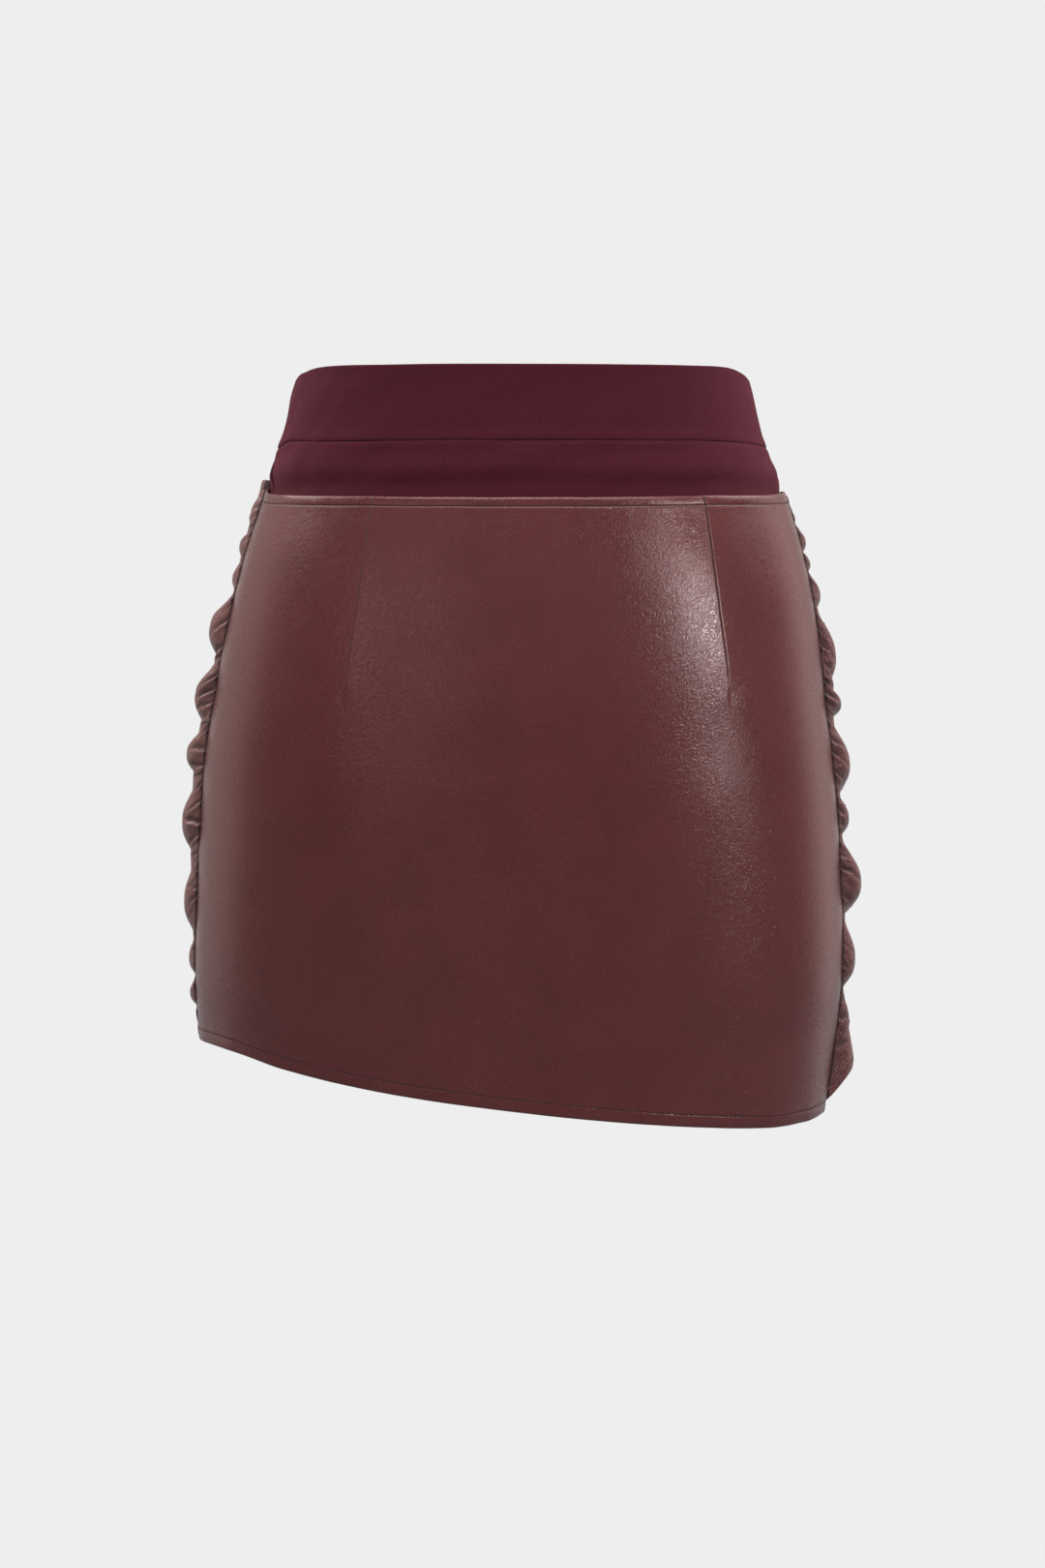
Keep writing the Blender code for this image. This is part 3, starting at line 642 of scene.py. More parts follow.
def makeFrontPanel(materials):
    spec = frontPanel
    puffs = len(spec["folds"]) - 1
    hiddenTop = turnedEdge(spec["turnedTop"], spec["turnedThick"])
    hiddenHem = turnedEdge(spec["turnedHem"], spec["turnedThick"])
    fold = spec["turnedThick"] / 2
    topStep, hemStep = spec["stripSteps"]
    topStrip = stops(spec["turnedTop"] - fold, topStep, [(0.0, *spec["foldRows"])])[:-1]
    hemStrip = stops(spec["turnedHem"] - fold, hemStep, [(0.0, *spec["foldRows"])])[:-1]
    rows = [(puffs, -(spec["turnedHem"] - offset), depth) for offset, depth in hiddenHem]
    rows += [(puffs, -past, 0.0) for past in hemStrip[::-1]]
    for index in reversed(range(puffs)):
        high = np.abs(spec["folds"][index, :2] - spec["folds"][index + 1, :2]).mean()
        lineAt = {0: 0.0, puffs - 1: high}  # only the first and last puff meet a stitched line
        fine = [(lineAt[index], *spec["lineRows"])] if index in lineAt else []
        parts = stops(high, spec["rowStep"], fine) / high
        rows += [(index + part, 0.0, 0.0) for part in parts[-2::-1]]
    rows += [(0.0, past, 0.0) for past in topStrip[1:]]
    rows += [(0.0, spec["turnedTop"] - offset, depth) for offset, depth in hiddenTop[::-1]]
    rows = np.array(rows)
    width = spec["width"]
    fine = [(edge, *zone) for zone in spec["seamZones"] for edge in (0.0, width)]
    columns = seamColumns(width, spec, fine)

    def place(column, row):
        distance, rollDepth = columns[column].T
        down, edge, foldDepth = rows[row].T
        depth = foldDepth + rollDepth * np.where(foldDepth > spec["faceDepth"], spec["hiddenRoll"], 1.0)
        point, height, fromTop, fromHem, paintedShade = frontPoint(distance, down, edge, depth)
        fromLeft, onFace = width - distance, foldDepth < spec["faceDepth"]
        # painted shade where the seam's edge rolls in
        rollShade = ease(rollDepth / (0.4 * spec["seamRadius"]))
        gathers, sheenReach, faint = spec["gatheredReach"], spec["paintedSheenReach"], spec["faintShare"]
        # the pale mask is painted sheen on the puffs, strongest by the left seam
        masks = {
            "paintedShade": np.maximum(paintedShade, rollShade) * onFace,
            "pastLine": np.where(down < puffs / 2, fromTop, fromHem) * mm,
            "gathered": (bell(distance, gathers, 3) + faint * bell(fromLeft, gathers, 3)) * onFace,
            "pale": (faint * bell(distance, sheenReach, 4) + bell(fromLeft, sheenReach, 4)) * onFace,
        }
        return point, np.stack([distance, height], -1), masks

    print("front panel:", len(columns), "columns,", len(rows), "rows")
    return makeCloth("frontPanel", len(columns), len(rows), place, spec["wall"], materials)


# The knitted waistband and the yoke under it, each a back and a front
knitBands = {
    "seam": [  # share of the half width, height of the band's lower edge
        (-1.1, -40.6), (-1.0, -40.5), (-0.985, -40.0), (-0.955, -38.1), (-0.93, -38.2), (-0.79, -39.8),
        (-0.5, -40.6), (0.0, -40.8), (0.5, -40.5), (0.78, -39.7), (1.0, -40.1), (1.1, -40.4),
    ],
    "bandThick": 2.4, "bandWall": 1.0, "bandMeasuredAt": -20.0, "yokeMeasuredAt": -52.0,
    "yokeBehind": 16.0, "behindFrom": -45.0, "behindAt": -63.0,  # the yoke's side seams run backwards
    "yokeEnd": -98.0, "yokeInset": 3.0, "insetFrom": -54.0, "insetAt": -65.0, "yokeWall": 1.0,
    "seamRadius": 0.7, "seamAllowance": 0.6, "seamClear": 0.3, "seamZone": (4, 0.8),
    "faceDepth": 1.5,  # the band's cloth deeper than this is hidden
    "waveRun": 400.0,  # a nominal length, on which the lengths of the waves are based
    "waveSlant": 38.0, "yokeWavesFrom": 30,
    "bandWaves": [(97.0, 0.16, 0.4), (41.0, 0.10, 2.2), (23.0, 0.06, 5.0)],  # length, height, start
    "yokeWaves": [(120.0, 0.35, 1.0), (52.0, 0.22, 3.1), (29.0, 0.14, 0.6)],
    "topEdge": [  # share of the half width, height: the folded edge dips beside the side seams
        (-1.1, -4.0), (-1.0, -2.6), (-0.98, -0.6), (-0.955, 0.1), (-0.93, 1.0), (-0.9, 1.55),
        (-0.85, 1.75), (-0.767, 1.6), (-0.6, 1.0), (-0.4, 0.8), (0.0, 0.5), (0.4, 0.6), (0.6, 0.9),
        (0.767, 1.35), (0.85, 1.7), (0.9, 1.6), (0.93, 1.05), (0.955, 0.1), (0.98, -1.2),
        (1.0, -3.0), (1.1, -5.0),
    ],
    "edgeReach": 25.0,
    "lipPuff": 0.35, "bandLip": (2.6, 2.2), "yokeLip": (2.4, 2.0),  # a swell beside their seam
    "columnStep": 2.9, "partFrom": 1000.0,
}


def bandSeam(angle):
    return curveThrough(knitBands["seam"], widthShare(angle))[..., 1]


def knitWaves(waves, distance, height):
    relief = np.zeros_like(height)
    for length, high, start in waves:
        relief += high * np.sin(fullTurn * (distance / length - height / knitBands["waveSlant"]) + start)
    return relief


def knitColumns(width):
    reach, step = knitBands["seamZone"]
    return seamColumns(width, knitBands, [(0.0, reach, step), (width, reach, step)])


def knitShade(fromSeam, rollDepth):
    # painted shade, darkest in the seam along the band and where the side seams roll in
    return np.maximum(0.45 * bell(fromSeam, 0.35), np.clip(rollDepth / 0.7, 0, 1))


def bandPoint(angleOf, share, down, depth=0.0):
    # down is the distance from the folded top edge, or past partFrom a part of the way to the seam
    spec = knitBands
    share, down, depth = alike(share, down, depth)
    seam = bandSeam(angleOf(share, np.zeros_like(share)))
    edge = curveThrough(spec["topEdge"], widthShare(angleOf(share, 0.0)))[..., 1]
    isPart = down >= spec["partFrom"]
    height = np.where(isPart, seam * (down - spec["partFrom"]), -down)
    height = height + edge * ease((height + spec["edgeReach"]) / spec["edgeReach"])
    angle = angleOf(share, height)
    relief = knitWaves(spec["bandWaves"], share * spec["waveRun"], height) * ease(-height / 12)
    lipAt, lipReach = spec["bandLip"]
    relief = relief + spec["lipPuff"] * bell(height - seam - lipAt, lipReach)
    point = formPoint(angle, height) + formNormal(angle, height) * (relief - depth)[..., None]
    return point, height, height - seam


def makeBand(name, angleOf, materials):
    # rows go from the inner layer's edge over the fold and down the face to the seam
    spec = knitBands
    width = arcsOf(angleOf, spec["bandMeasuredAt"])[1][-1]
    radius, partFrom = spec["bandThick"] / 2, spec["partFrom"]
    turns = np.radians(np.linspace(0, 180, 9))
    rows = [(partFrom + part, spec["bandThick"]) for part in (0.98, 0.8, 0.6, 0.4, 0.2)]
    rows += [(radius * (1 - math.sin(t)), radius * (1 + math.cos(t))) for t in turns]
    rows += [(down, 0.0) for down in (1.9, 3.0, 4.4, 6.0)]
    rows += [(partFrom + along(0.2, 0.94, share), 0.0) for share in np.linspace(0, 1, 18)]
    rows += [(partFrom + part, 0.0) for part in (0.955, 0.968, 0.98)]
    seamRoll = (0.99, 0.04), (0.997, 0.15), (1.0, 0.4), (1.0, 1.1)
    rows += [(partFrom + part, depth) for part, depth in seamRoll]
    rows = np.array(rows[::-1])
    columns = knitColumns(width)

    def place(column, row):
        distance, rollDepth = columns[column].T
        down, foldDepth = rows[row].T
        depth = foldDepth + rollDepth * np.where(foldDepth > radius, 0.0, 1.0)
        point, height, aboveSeam = bandPoint(angleOf, distance / width, down, depth)
        masks = {"paintedShade": knitShade(aboveSeam, rollDepth) * (foldDepth < spec["faceDepth"])}
        return point, np.stack([distance, height - 4 * foldDepth], -1), masks

    return makeCloth(name, len(columns), len(rows), place, spec["bandWall"], materials)


def yokeTurn(height, gap):
    spec = knitBands
    further = ease((height - spec["behindFrom"]) / (spec["behindAt"] - spec["behindFrom"]))
    return seamTurn(height, outline["seamBehind"] + spec["yokeBehind"] * further + gap)


def yokeBackAngle(share, height):
    turn = yokeTurn(height, outline["seamGap"] / 2)
    return along(math.pi + turn, fullTurn - turn, share)


def yokeFrontAngle(share, height):
    turn = yokeTurn(height, -outline["seamGap"] / 2)
    return along(-turn, math.pi + turn, share)


def yokePoint(angleOf, share, part, depth=0.0):
    # part is 0 at the lower edge inside the leather and 1 at the band's seam
    spec = knitBands
    share, part, depth = alike(share, part, depth)
    seam = bandSeam(angleOf(share, np.zeros_like(share))) - 0.05
    height = along(spec["yokeEnd"], seam, part)
    further = (height - spec["insetFrom"]) / (spec["insetAt"] - spec["insetFrom"])
    inset = spec["yokeInset"] * ease(further)
    angle = angleOf(share, height)
    below = seam - height
    relief = knitWaves(spec["yokeWaves"], share * spec["waveRun"] + spec["yokeWavesFrom"], height)
    relief = relief * ease(below / 8) * ease((height + 66) / 8)
    lipAt, lipReach = spec["yokeLip"]
    relief = relief + spec["lipPuff"] * bell(below - lipAt, lipReach)
    point = formPoint(angle, height) + formNormal(angle, height) * (relief - inset - depth)[..., None]
    return point, height, below


def makeYoke(name, angleOf, materials):
    spec = knitBands
    width = arcsOf(angleOf, spec["yokeMeasuredAt"])[1][-1]
    rows = [(part, 0.0) for part in np.linspace(0, 0.52, 12)]
    rows += [(part, 0.0) for part in np.linspace(0.54, 0.95, 15)]
    rows += [(0.965, 0.0), (0.98, 0.0), (0.99, 0.04), (0.996, 0.12), (1.0, 0.35), (1.0, 1.1)]
    rows = np.array(rows)
    columns = knitColumns(width)

    def place(column, row):
        distance, rollDepth = columns[column].T
        part, rimDepth = rows[row].T
        depth = rimDepth + rollDepth
        point, height, below = yokePoint(angleOf, distance / width, part, depth)
        return point, np.stack([distance, height], -1), {"paintedShade": knitShade(below, rollDepth)}

    return makeCloth(name, len(columns), len(rows), place, spec["yokeWall"], materials)


def newGroup(name, inputs, outputs):
    # inputs are rows of socket, kind and default value, outputs rows of socket and kind
    group = bpy.data.node_groups.new(name, "ShaderNodeTree")
    for socket, kind, value in inputs:
        made = group.interface.new_socket(socket, in_out="INPUT", socket_type=kind)
        if value is not None:
            made.default_value = value
    for socket, kind in outputs:
        group.interface.new_socket(socket, in_out="OUTPUT", socket_type=kind)
    return group, group.nodes.new("NodeGroupInput"), group.nodes.new("NodeGroupOutput")


def addNode(tree, kind, values=(), **settings):
    node = tree.nodes.new(kind)
    for key, value in settings.items():
        setattr(node, key, value)
    for key, value in dict(values).items():
        node.inputs[key].default_value = value
    return node


def sums(tree, operation, first, second=None, third=None):
    # a Math node; each value is a number or another node's output
    node = tree.nodes.new("ShaderNodeMath")
    node.operation = operation
    for slot, value in enumerate((first, second, third)):
        if isinstance(value, (int, float)):
            node.inputs[slot].default_value = value
        elif value is not None:
            tree.links.new(value, node.inputs[slot])
    return node.outputs[0]


def addNoise(tree, place, values):
    noise = addNode(tree, "ShaderNodeTexNoise", values)
    tree.links.new(place, noise.inputs["Vector"])
    return noise


def rangeOf(tree, value, values, interpolation="LINEAR"):
    ranged = addNode(tree, "ShaderNodeMapRange", values, interpolation_type=interpolation)
    tree.links.new(value, ranged.inputs["Value"])
    return ranged.outputs["Result"]


def leatherGrainGroup():
    # fine wrinkles that lean one way, small pebbles between them and a slow unevenness
    group, start, end = newGroup(
        "leatherGrain",
        [("Vector", "NodeSocketVector", None), ("Wrinkles", "NodeSocketFloat", 1500.0),
         ("Pebbles", "NodeSocketFloat", 1300.0), ("Lean", "NodeSocketFloat", 1.0)],
        [("Height", "NodeSocketFloat"), ("Creases", "NodeSocketFloat")],
    )
    links = group.links
    warp = addNoise(group, start.outputs["Vector"], {"Scale": 260.0, "Detail": 1.0, "Roughness": 0.5})
    shift = addNode(group, "ShaderNodeVectorMath", operation="MULTIPLY_ADD")
    shift.inputs[1].default_value = (0.0014, 0.0014, 0.0014)
    links.new(warp.outputs["Color"], shift.inputs[0])
    links.new(start.outputs["Vector"], shift.inputs[2])
    lean = {"Rotation": (0.0, math.radians(-52), 0.0), "Scale": (3.0, 1.0, 0.8)}
    turned = addNode(group, "ShaderNodeMapping", lean, vector_type="TEXTURE")
    links.new(shift.outputs[0], turned.inputs["Vector"])
    cells = addNode(group, "ShaderNodeTexVoronoi", feature="SMOOTH_F1")
    links.new(shift.outputs[0], cells.inputs["Vector"])
    links.new(start.outputs["Pebbles"], cells.inputs["Scale"])
    wrinkles = addNoise(group, turned.outputs[0], {"Detail": 1.5, "Roughness": 0.5, "Distortion": 0.3})
    links.new(start.outputs["Wrinkles"], wrinkles.inputs["Scale"])
    crest = rangeOf(group, wrinkles.outputs["Fac"], {"From Min": 0.3, "From Max": 0.68}, "SMOOTHSTEP")
    broad = addNoise(group, start.outputs["Vector"], {"Scale": 95.0, "Detail": 2.0, "Roughness": 0.5})
    folds = addNoise(group, turned.outputs[0], {"Scale": 640.0, "Detail": 1.0, "Roughness": 0.5})
    leaning = sums(group, "MULTIPLY", crest, start.outputs["Lean"])
    leaning = sums(group, "MULTIPLY_ADD", folds.outputs["Fac"], 1.2, leaning)
    height = sums(group, "MULTIPLY_ADD", cells.outputs["Distance"], -0.3, leaning)
    links.new(sums(group, "MULTIPLY_ADD", broad.outputs["Fac"], 1.2, height), end.inputs["Height"])
    links.new(sums(group, "SUBTRACT", 1.0, crest), end.inputs["Creases"])
    return group


def puckersGroup():
    # short ticks where each stitch draws the cloth in, on the body side of a sewn line
    group, start, end = newGroup(
        "stitchPuckers",
        [("Along", "NodeSocketFloat", 0.0), ("Past Line", "NodeSocketFloat", 0.0),
         ("Pitch", "NodeSocketFloat", 0.00155), ("Reach", "NodeSocketFloat", 0.0014)],
        [("Height", "NodeSocketFloat")],
    )
    turn = sums(group, "DIVIDE", start.outputs["Along"], start.outputs["Pitch"])
    wave = sums(group, "SINE", sums(group, "MULTIPLY", turn, fullTurn))
    slow = sums(group, "SINE", sums(group, "MULTIPLY", turn, fullTurn * 0.137))
    wave = sums(group, "ADD", sums(group, "MULTIPLY", slow, 0.45), wave)
    off = sums(group, "SUBTRACT", start.outputs["Past Line"], 0.0008)
    off = sums(group, "DIVIDE", off, start.outputs["Reach"])
    near = sums(group, "MULTIPLY", sums(group, "MULTIPLY", off, off), -1.0)
    near = sums(group, "EXPONENT", near)
    group.links.new(sums(group, "MULTIPLY", wave, near), end.inputs["Height"])
    return group


def jerseyGroup():
    # fine plain knitting: columns of small V shapes, with fuzz over them
    group, start, end = newGroup(
        "jersey",
        [("Vector", "NodeSocketVector", None), ("Wale", "NodeSocketFloat", 0.0007),
         ("Course", "NodeSocketFloat", 0.00055)],
        [("Height", "NodeSocketFloat"), ("Fuzz", "NodeSocketFloat")],
    )
    parts = group.nodes.new("ShaderNodeSeparateXYZ")
    group.links.new(start.outputs["Vector"], parts.inputs[0])
    across = sums(group, "DIVIDE", parts.outputs["X"], start.outputs["Wale"])
    slant = sums(group, "PINGPONG", across, 0.5)
    rows = sums(group, "DIVIDE", parts.outputs["Y"], start.outputs["Course"])
    rows = sums(group, "ADD", rows, slant)
    loops = sums(group, "SINE", sums(group, "MULTIPLY", rows, fullTurn))
    legs = sums(group, "SINE", sums(group, "MULTIPLY", slant, fullTurn))
    fuzz = addNoise(group, start.outputs["Vector"], {"Scale": 1100.0, "Detail": 4.0, "Roughness": 0.65})
    height = sums(group, "ADD", sums(group, "MULTIPLY", loops, 0.2), sums(group, "MULTIPLY", legs, 0.55))
    height = sums(group, "ADD", height, sums(group, "MULTIPLY", fuzz.outputs["Fac"], 1.6))
    group.links.new(height, end.inputs["Height"])
    group.links.new(fuzz.outputs["Fac"], end.inputs["Fuzz"])
    return group


leatherGrain, stitchPuckers, jersey = leatherGrainGroup(), puckersGroup(), jerseyGroup()


def newMaterial(name, shaderValues):
    material = bpy.data.materials.new(name)
    material.use_nodes = True
    tree = material.node_tree
    shader = tree.nodes["Principled BSDF"]
    for socket, value in shaderValues.items():
        shader.inputs[socket].default_value = value
    return material, tree, shader


def useGroup(tree, group, values=()):
    node = tree.nodes.new("ShaderNodeGroup")
    node.node_tree = group
    for key, value in dict(values).items():
        node.inputs[key].default_value = value
    return node


def mixColor(tree, mask, first, second):
    mix = addNode(tree, "ShaderNodeMix", data_type="RGBA", clamp_factor=True)
    tree.links.new(mask, mix.inputs[0])
    for slot, value in ((6, first), (7, second)):
        if isinstance(value, tuple):
            mix.inputs[slot].default_value = (*value, 1.0)
        else:
            tree.links.new(value, mix.inputs[slot])
    return mix.outputs[2]


def maskOf(tree, name):
    return addNode(tree, "ShaderNodeAttribute", attribute_name=name).outputs["Fac"]


def flatPlace(tree):
    # the place on the flat cloth, and how far across it that is
    flat = tree.nodes.new("ShaderNodeUVMap")
    flat.uv_map = "cloth"
    parts = tree.nodes.new("ShaderNodeSeparateXYZ")
    tree.links.new(flat.outputs[0], parts.inputs[0])
    return flat.outputs[0], parts.outputs["X"]


def addBump(tree, height, distance, normal=None):
    bump = addNode(tree, "ShaderNodeBump", {"Strength": 1.0, "Distance": distance})
    tree.links.new(height, bump.inputs["Height"])
    if normal is not None:
        tree.links.new(normal, bump.inputs["Normal"])
    return bump.outputs["Normal"]


leatherFinish = {
    "color": (0.092, 0.0176, 0.0187), "mottle": (0.078, 0.0142, 0.0152),
    "crease": (0.060, 0.0105, 0.0115), "creaseShare": 0.65, "creaseRough": 0.2,
    "pale": (0.19, 0.095, 0.085), "paintedSheenShare": 0.55,  # painted sheen: the puffs are painted paler for the light they catch
    # painted shade: nearly black in the seams, dart lines, stitched lines and the valleys between puffs
    "paintedShade": (0.010, 0.002, 0.003), "paintedShadeShare": 0.92, "paintedShadeRough": 0.6,
    "roughness": 0.175, "roughSpread": 0.05, "mottleScale": 26.0,
    "wrinkles": 1400.0, "pebbles": 1150.0, "lean": 1.0, "crinkleScale": 560.0,
    "grainDepth": 0.000055, "puckerDepth": 0.00004, "crumpleDepth": 0.00013,
}


def makeLeather():
    spec = leatherFinish
    material, tree, shader = newMaterial("leather", {
        "IOR": 1.5, "Specular IOR Level": 0.5, "Specular Tint": (1.0, 0.86, 0.85, 1.0),
    })
    links = tree.links
    place = tree.nodes.new("ShaderNodeTexCoord")
    grain = useGroup(tree, leatherGrain, {
        "Wrinkles": spec["wrinkles"], "Pebbles": spec["pebbles"], "Lean": spec["lean"],
    })
    links.new(place.outputs["Object"], grain.inputs["Vector"])
    noise = {"Scale": spec["mottleScale"], "Detail": 4.0, "Roughness": 0.6}
    mottle = addNoise(tree, place.outputs["Object"], noise).outputs["Fac"]
    softened = rangeOf(tree, mottle, {"From Min": 0.38, "From Max": 0.66}, "SMOOTHSTEP")
    paintedShade, pale, gathered = (maskOf(tree, name) for name in ("paintedShade", "pale", "gathered"))
    color = mixColor(tree, softened, spec["color"], spec["mottle"])
    creases = sums(tree, "MULTIPLY", grain.outputs["Creases"], spec["creaseShare"])
    color = mixColor(tree, creases, color, spec["crease"])
    # painted sheen: the puffs beside the front's seams are painted paler for the light they catch
    color = mixColor(tree, sums(tree, "MULTIPLY", pale, spec["paintedSheenShare"]), color, spec["pale"])
    # painted shade darkens the seams, darts, stitched lines and the creases between puffs
    color = mixColor(tree, sums(tree, "MULTIPLY", paintedShade, spec["paintedShadeShare"]), color, spec["paintedShade"])
    links.new(color, shader.inputs["Base Color"])
    smoothest = spec["roughness"] - spec["roughSpread"] / 2
    rough = sums(tree, "MULTIPLY_ADD", mottle, spec["roughSpread"], smoothest)
    rough = sums(tree, "MULTIPLY_ADD", creases, spec["creaseRough"], rough)
    rough = sums(tree, "MULTIPLY_ADD", paintedShade, spec["paintedShadeRough"], rough)
    links.new(rough, shader.inputs["Roughness"])
    puckers = useGroup(tree, stitchPuckers)
    links.new(flatPlace(tree)[1], puckers.inputs["Along"])
    links.new(maskOf(tree, "pastLine"), puckers.inputs["Past Line"])
    # crumples where the cloth is gathered: sharp ridges along the middle value of a noise
    noise = {"Scale": spec["crinkleScale"], "Detail": 2.0, "Roughness": 0.5, "Distortion": 0.5}
    crinkle = addNoise(tree, place.outputs["Object"], noise)
    offLine = sums(tree, "ABSOLUTE", sums(tree, "SUBTRACT", crinkle.outputs["Fac"], 0.5))
    ridges = rangeOf(tree, offLine, {"From Max": 0.09, "To Min": 1.0, "To Max": 0.0})
    normal = addBump(tree, grain.outputs["Height"], spec["grainDepth"])
    normal = addBump(tree, sums(tree, "MULTIPLY", ridges, gathered), spec["crumpleDepth"], normal)
    normal = addBump(tree, puckers.outputs["Height"], spec["puckerDepth"], normal)
    links.new(normal, shader.inputs["Normal"])
    return material


knitFinishes = {  # lengths in metres: wale and course are the width and height of a stitch
    "knit": {
        "color": (0.061, 0.0094, 0.0172), "dark": (0.034, 0.0048, 0.0092), "bright": (1.0, 0.30, 0.42),
        "wale": 0.0009, "course": 0.00075, "depth": 0.00012, "sheen": 0.16,
    },
    "knitInside": {
        "color": (0.066, 0.011, 0.020), "dark": (0.05, 0.008, 0.015), "bright": (0.9, 0.55, 0.62),
        "wale": 0.0007, "course": 0.0007, "depth": 0.00014, "sheen": 0.3,
    },
    "leatherBacking": {
        "color": (0.155, 0.082, 0.075), "dark": (0.115, 0.058, 0.054), "bright": (0.95, 0.8, 0.75),
        "wale": 0.0009, "course": 0.0009, "depth": 0.00014, "sheen": 0.3,
    },
}
holePitch = 0.0012  # between the needle holes along the band's seam


def makeKnit(name):
    finish = knitFinishes[name]
    material, tree, shader = newMaterial(name, {
        "Roughness": 0.85, "IOR": 1.4, "Specular IOR Level": 0.08, "Sheen Weight": finish["sheen"],
        "Sheen Roughness": 0.45, "Sheen Tint": (*finish["bright"], 1.0),
    })
    links = tree.links
    flat, across = flatPlace(tree)
    knit = useGroup(tree, jersey, {"Wale": finish["wale"], "Course": finish["course"]})
    links.new(flat, knit.inputs["Vector"])
    streaks = addNode(tree, "ShaderNodeMapping", {"Scale": (1.9, 1.1, 1.0)})
    links.new(flat, streaks.inputs["Vector"])
    heather = addNoise(tree, streaks.outputs[0], {"Scale": 420.0, "Detail": 4.0, "Roughness": 0.65})
    fleck = sums(tree, "MULTIPLY", heather.outputs["Fac"], 0.5)
    fleck = sums(tree, "MULTIPLY_ADD", knit.outputs["Fuzz"], 0.5, fleck)
    fleck = rangeOf(tree, fleck, {"From Min": 0.33, "From Max": 0.68})
    # painted shade along the band's seam, broken into dots at the needle holes
    holes = sums(tree, "SINE", sums(tree, "MULTIPLY", across, fullTurn / holePitch))
    holes = sums(tree, "MULTIPLY_ADD", holes, 0.4, 0.6)
    holes = sums(tree, "MULTIPLY", holes, maskOf(tree, "paintedShade"))
    shadow = tuple(value * 0.25 for value in finish["dark"])
    color = mixColor(tree, fleck, finish["dark"], finish["color"])
    color = mixColor(tree, sums(tree, "MULTIPLY", holes, 0.9), color, shadow)
    links.new(color, shader.inputs["Base Color"])
    links.new(addBump(tree, knit.outputs["Height"], finish["depth"]), shader.inputs["Normal"])
    return material


threadFinishes = {
    "thread": {
        "color": (0.052, 0.010, 0.014), "dark": (0.030, 0.0055, 0.008),
        "twist": 900.0, "roughness": 0.8, "shine": 0.1,
    },
    # painted shadow: a dark matte cord stands for the shadow in each side seam's groove
    "seamShadowCord": {
        "color": (0.014, 0.003, 0.004), "dark": (0.006, 0.001, 0.0015),
        "twist": 700.0, "roughness": 0.9, "shine": 0.0,
    },
}


def makeThread(name):
    finish = threadFinishes[name]
    material, tree, shader = newMaterial(
        name, {"Roughness": finish["roughness"], "Specular IOR Level": finish["shine"]})
    place = tree.nodes.new("ShaderNodeTexCoord")
    wave = {"Scale": finish["twist"], "Distortion": 1.0, "Detail": 1.0}
    twist = addNode(tree, "ShaderNodeTexWave", wave)
    tree.links.new(place.outputs["Object"], twist.inputs["Vector"])
    color = mixColor(tree, twist.outputs["Fac"], finish["dark"], finish["color"])
    tree.links.new(color, shader.inputs["Base Color"])
    return material


leather = makeLeather()
knit, knitInside, backing = (makeKnit(name) for name in knitFinishes)
threadMaterial, seamShadowMaterial = (makeThread(name) for name in threadFinishes)
print("skirt: materials made")


# Each cloth piece names the material of its face, then the one of its inner side
back = makeBackPanel([leather, backing])
front = makeFrontPanel([leather, backing])
bandBack = makeBand("waistbandBack", backAngle, [knit, knitInside])
bandFront = makeBand("waistbandFront", frontAngle, [knit, knitInside])
yokeBack = makeYoke("yokeBack", yokeBackAngle, [knit, knitInside])
yokeFront = makeYoke("yokeFront", yokeFrontAngle, [knit, knitInside])
print("skirt: cloth made")

stitching = {
    "leather": {"pitch": 1.55, "width": 0.26, "height": 0.24, "lift": 0.04, "dip": 0.35},
    "dart": {"pitch": 2.1, "width": 0.2, "height": 0.2, "lift": -0.03, "dip": 0.3},
    "knit": {"pitch": 1.2, "width": 0.36, "height": 0.36, "lift": 0.1, "dip": 0.6},
    # side: the cord of painted shadow along the side seams
    "side": {"pitch": 2.6, "width": 1.25, "height": 1.3, "lift": 0.85, "dip": 0.12},
}
lineEnd, sideEnd = 1.5, 0.6  # stitched lines and side seams stop this far from the cloth's ends
bandRun = 384.0  # a nominal length, from which front and back get the same number of stitches
bandLine, bandStep = 0.985, 0.025  # the line's place as a part of the band, and a millimetre of it
bandDepth = 0.12
width, frontWidth, puffCount = backArcs[-1], frontPanel["width"], len(frontPanel["folds"]) - 1
turnedTop, turnedHem = backPanel["turnedTop"], backPanel["turnedHem"]
backRun, frontRun = width - 2 * lineEnd, frontWidth - 2 * lineEnd
topThread = sewLine("topEdgeThread", [
    (backRun, lambda at, side: backPoint(at + lineEnd, 1.0, turnedTop - side)[0]),
    (frontRun, lambda at, side: frontPoint(at + lineEnd, 0.0, side)[0]),
], stitching["leather"], threadMaterial)
hemThread = sewLine("hemThread", [
    (backRun, lambda at, side: backPoint(at + lineEnd, 0.0, turnedHem + side)[0]),
    (frontRun, lambda at, side: frontPoint(at + lineEnd, float(puffCount), side)[0]),
], stitching["leather"], threadMaterial)


def dartLine(dart):
    point = backPanel["darts"][dart][1]
    top = backHeight(np.array([dartAt[dart]]), 1.0, 0.0)[1][0]
    hem = backHeight(np.array([dartAt[dart]]), 0.0, 0.0)[2][0]
    length = top - lineEnd - point

    def pointAt(at, side):
        part = (point + at - hem) / (top - hem)
        return backPoint(dartAt[dart] - side, part, 0.0)[0]

    return length, pointAt


dartThread = sewLine("dartThread", [dartLine(0), dartLine(1)], stitching["dart"], threadMaterial)


def bandLineOn(angleOf):
    def pointAt(at, side):
        down = knitBands["partFrom"] + bandLine - side * bandStep
        return bandPoint(angleOf, at / bandRun, down, bandDepth)[0]

    return bandRun, pointAt


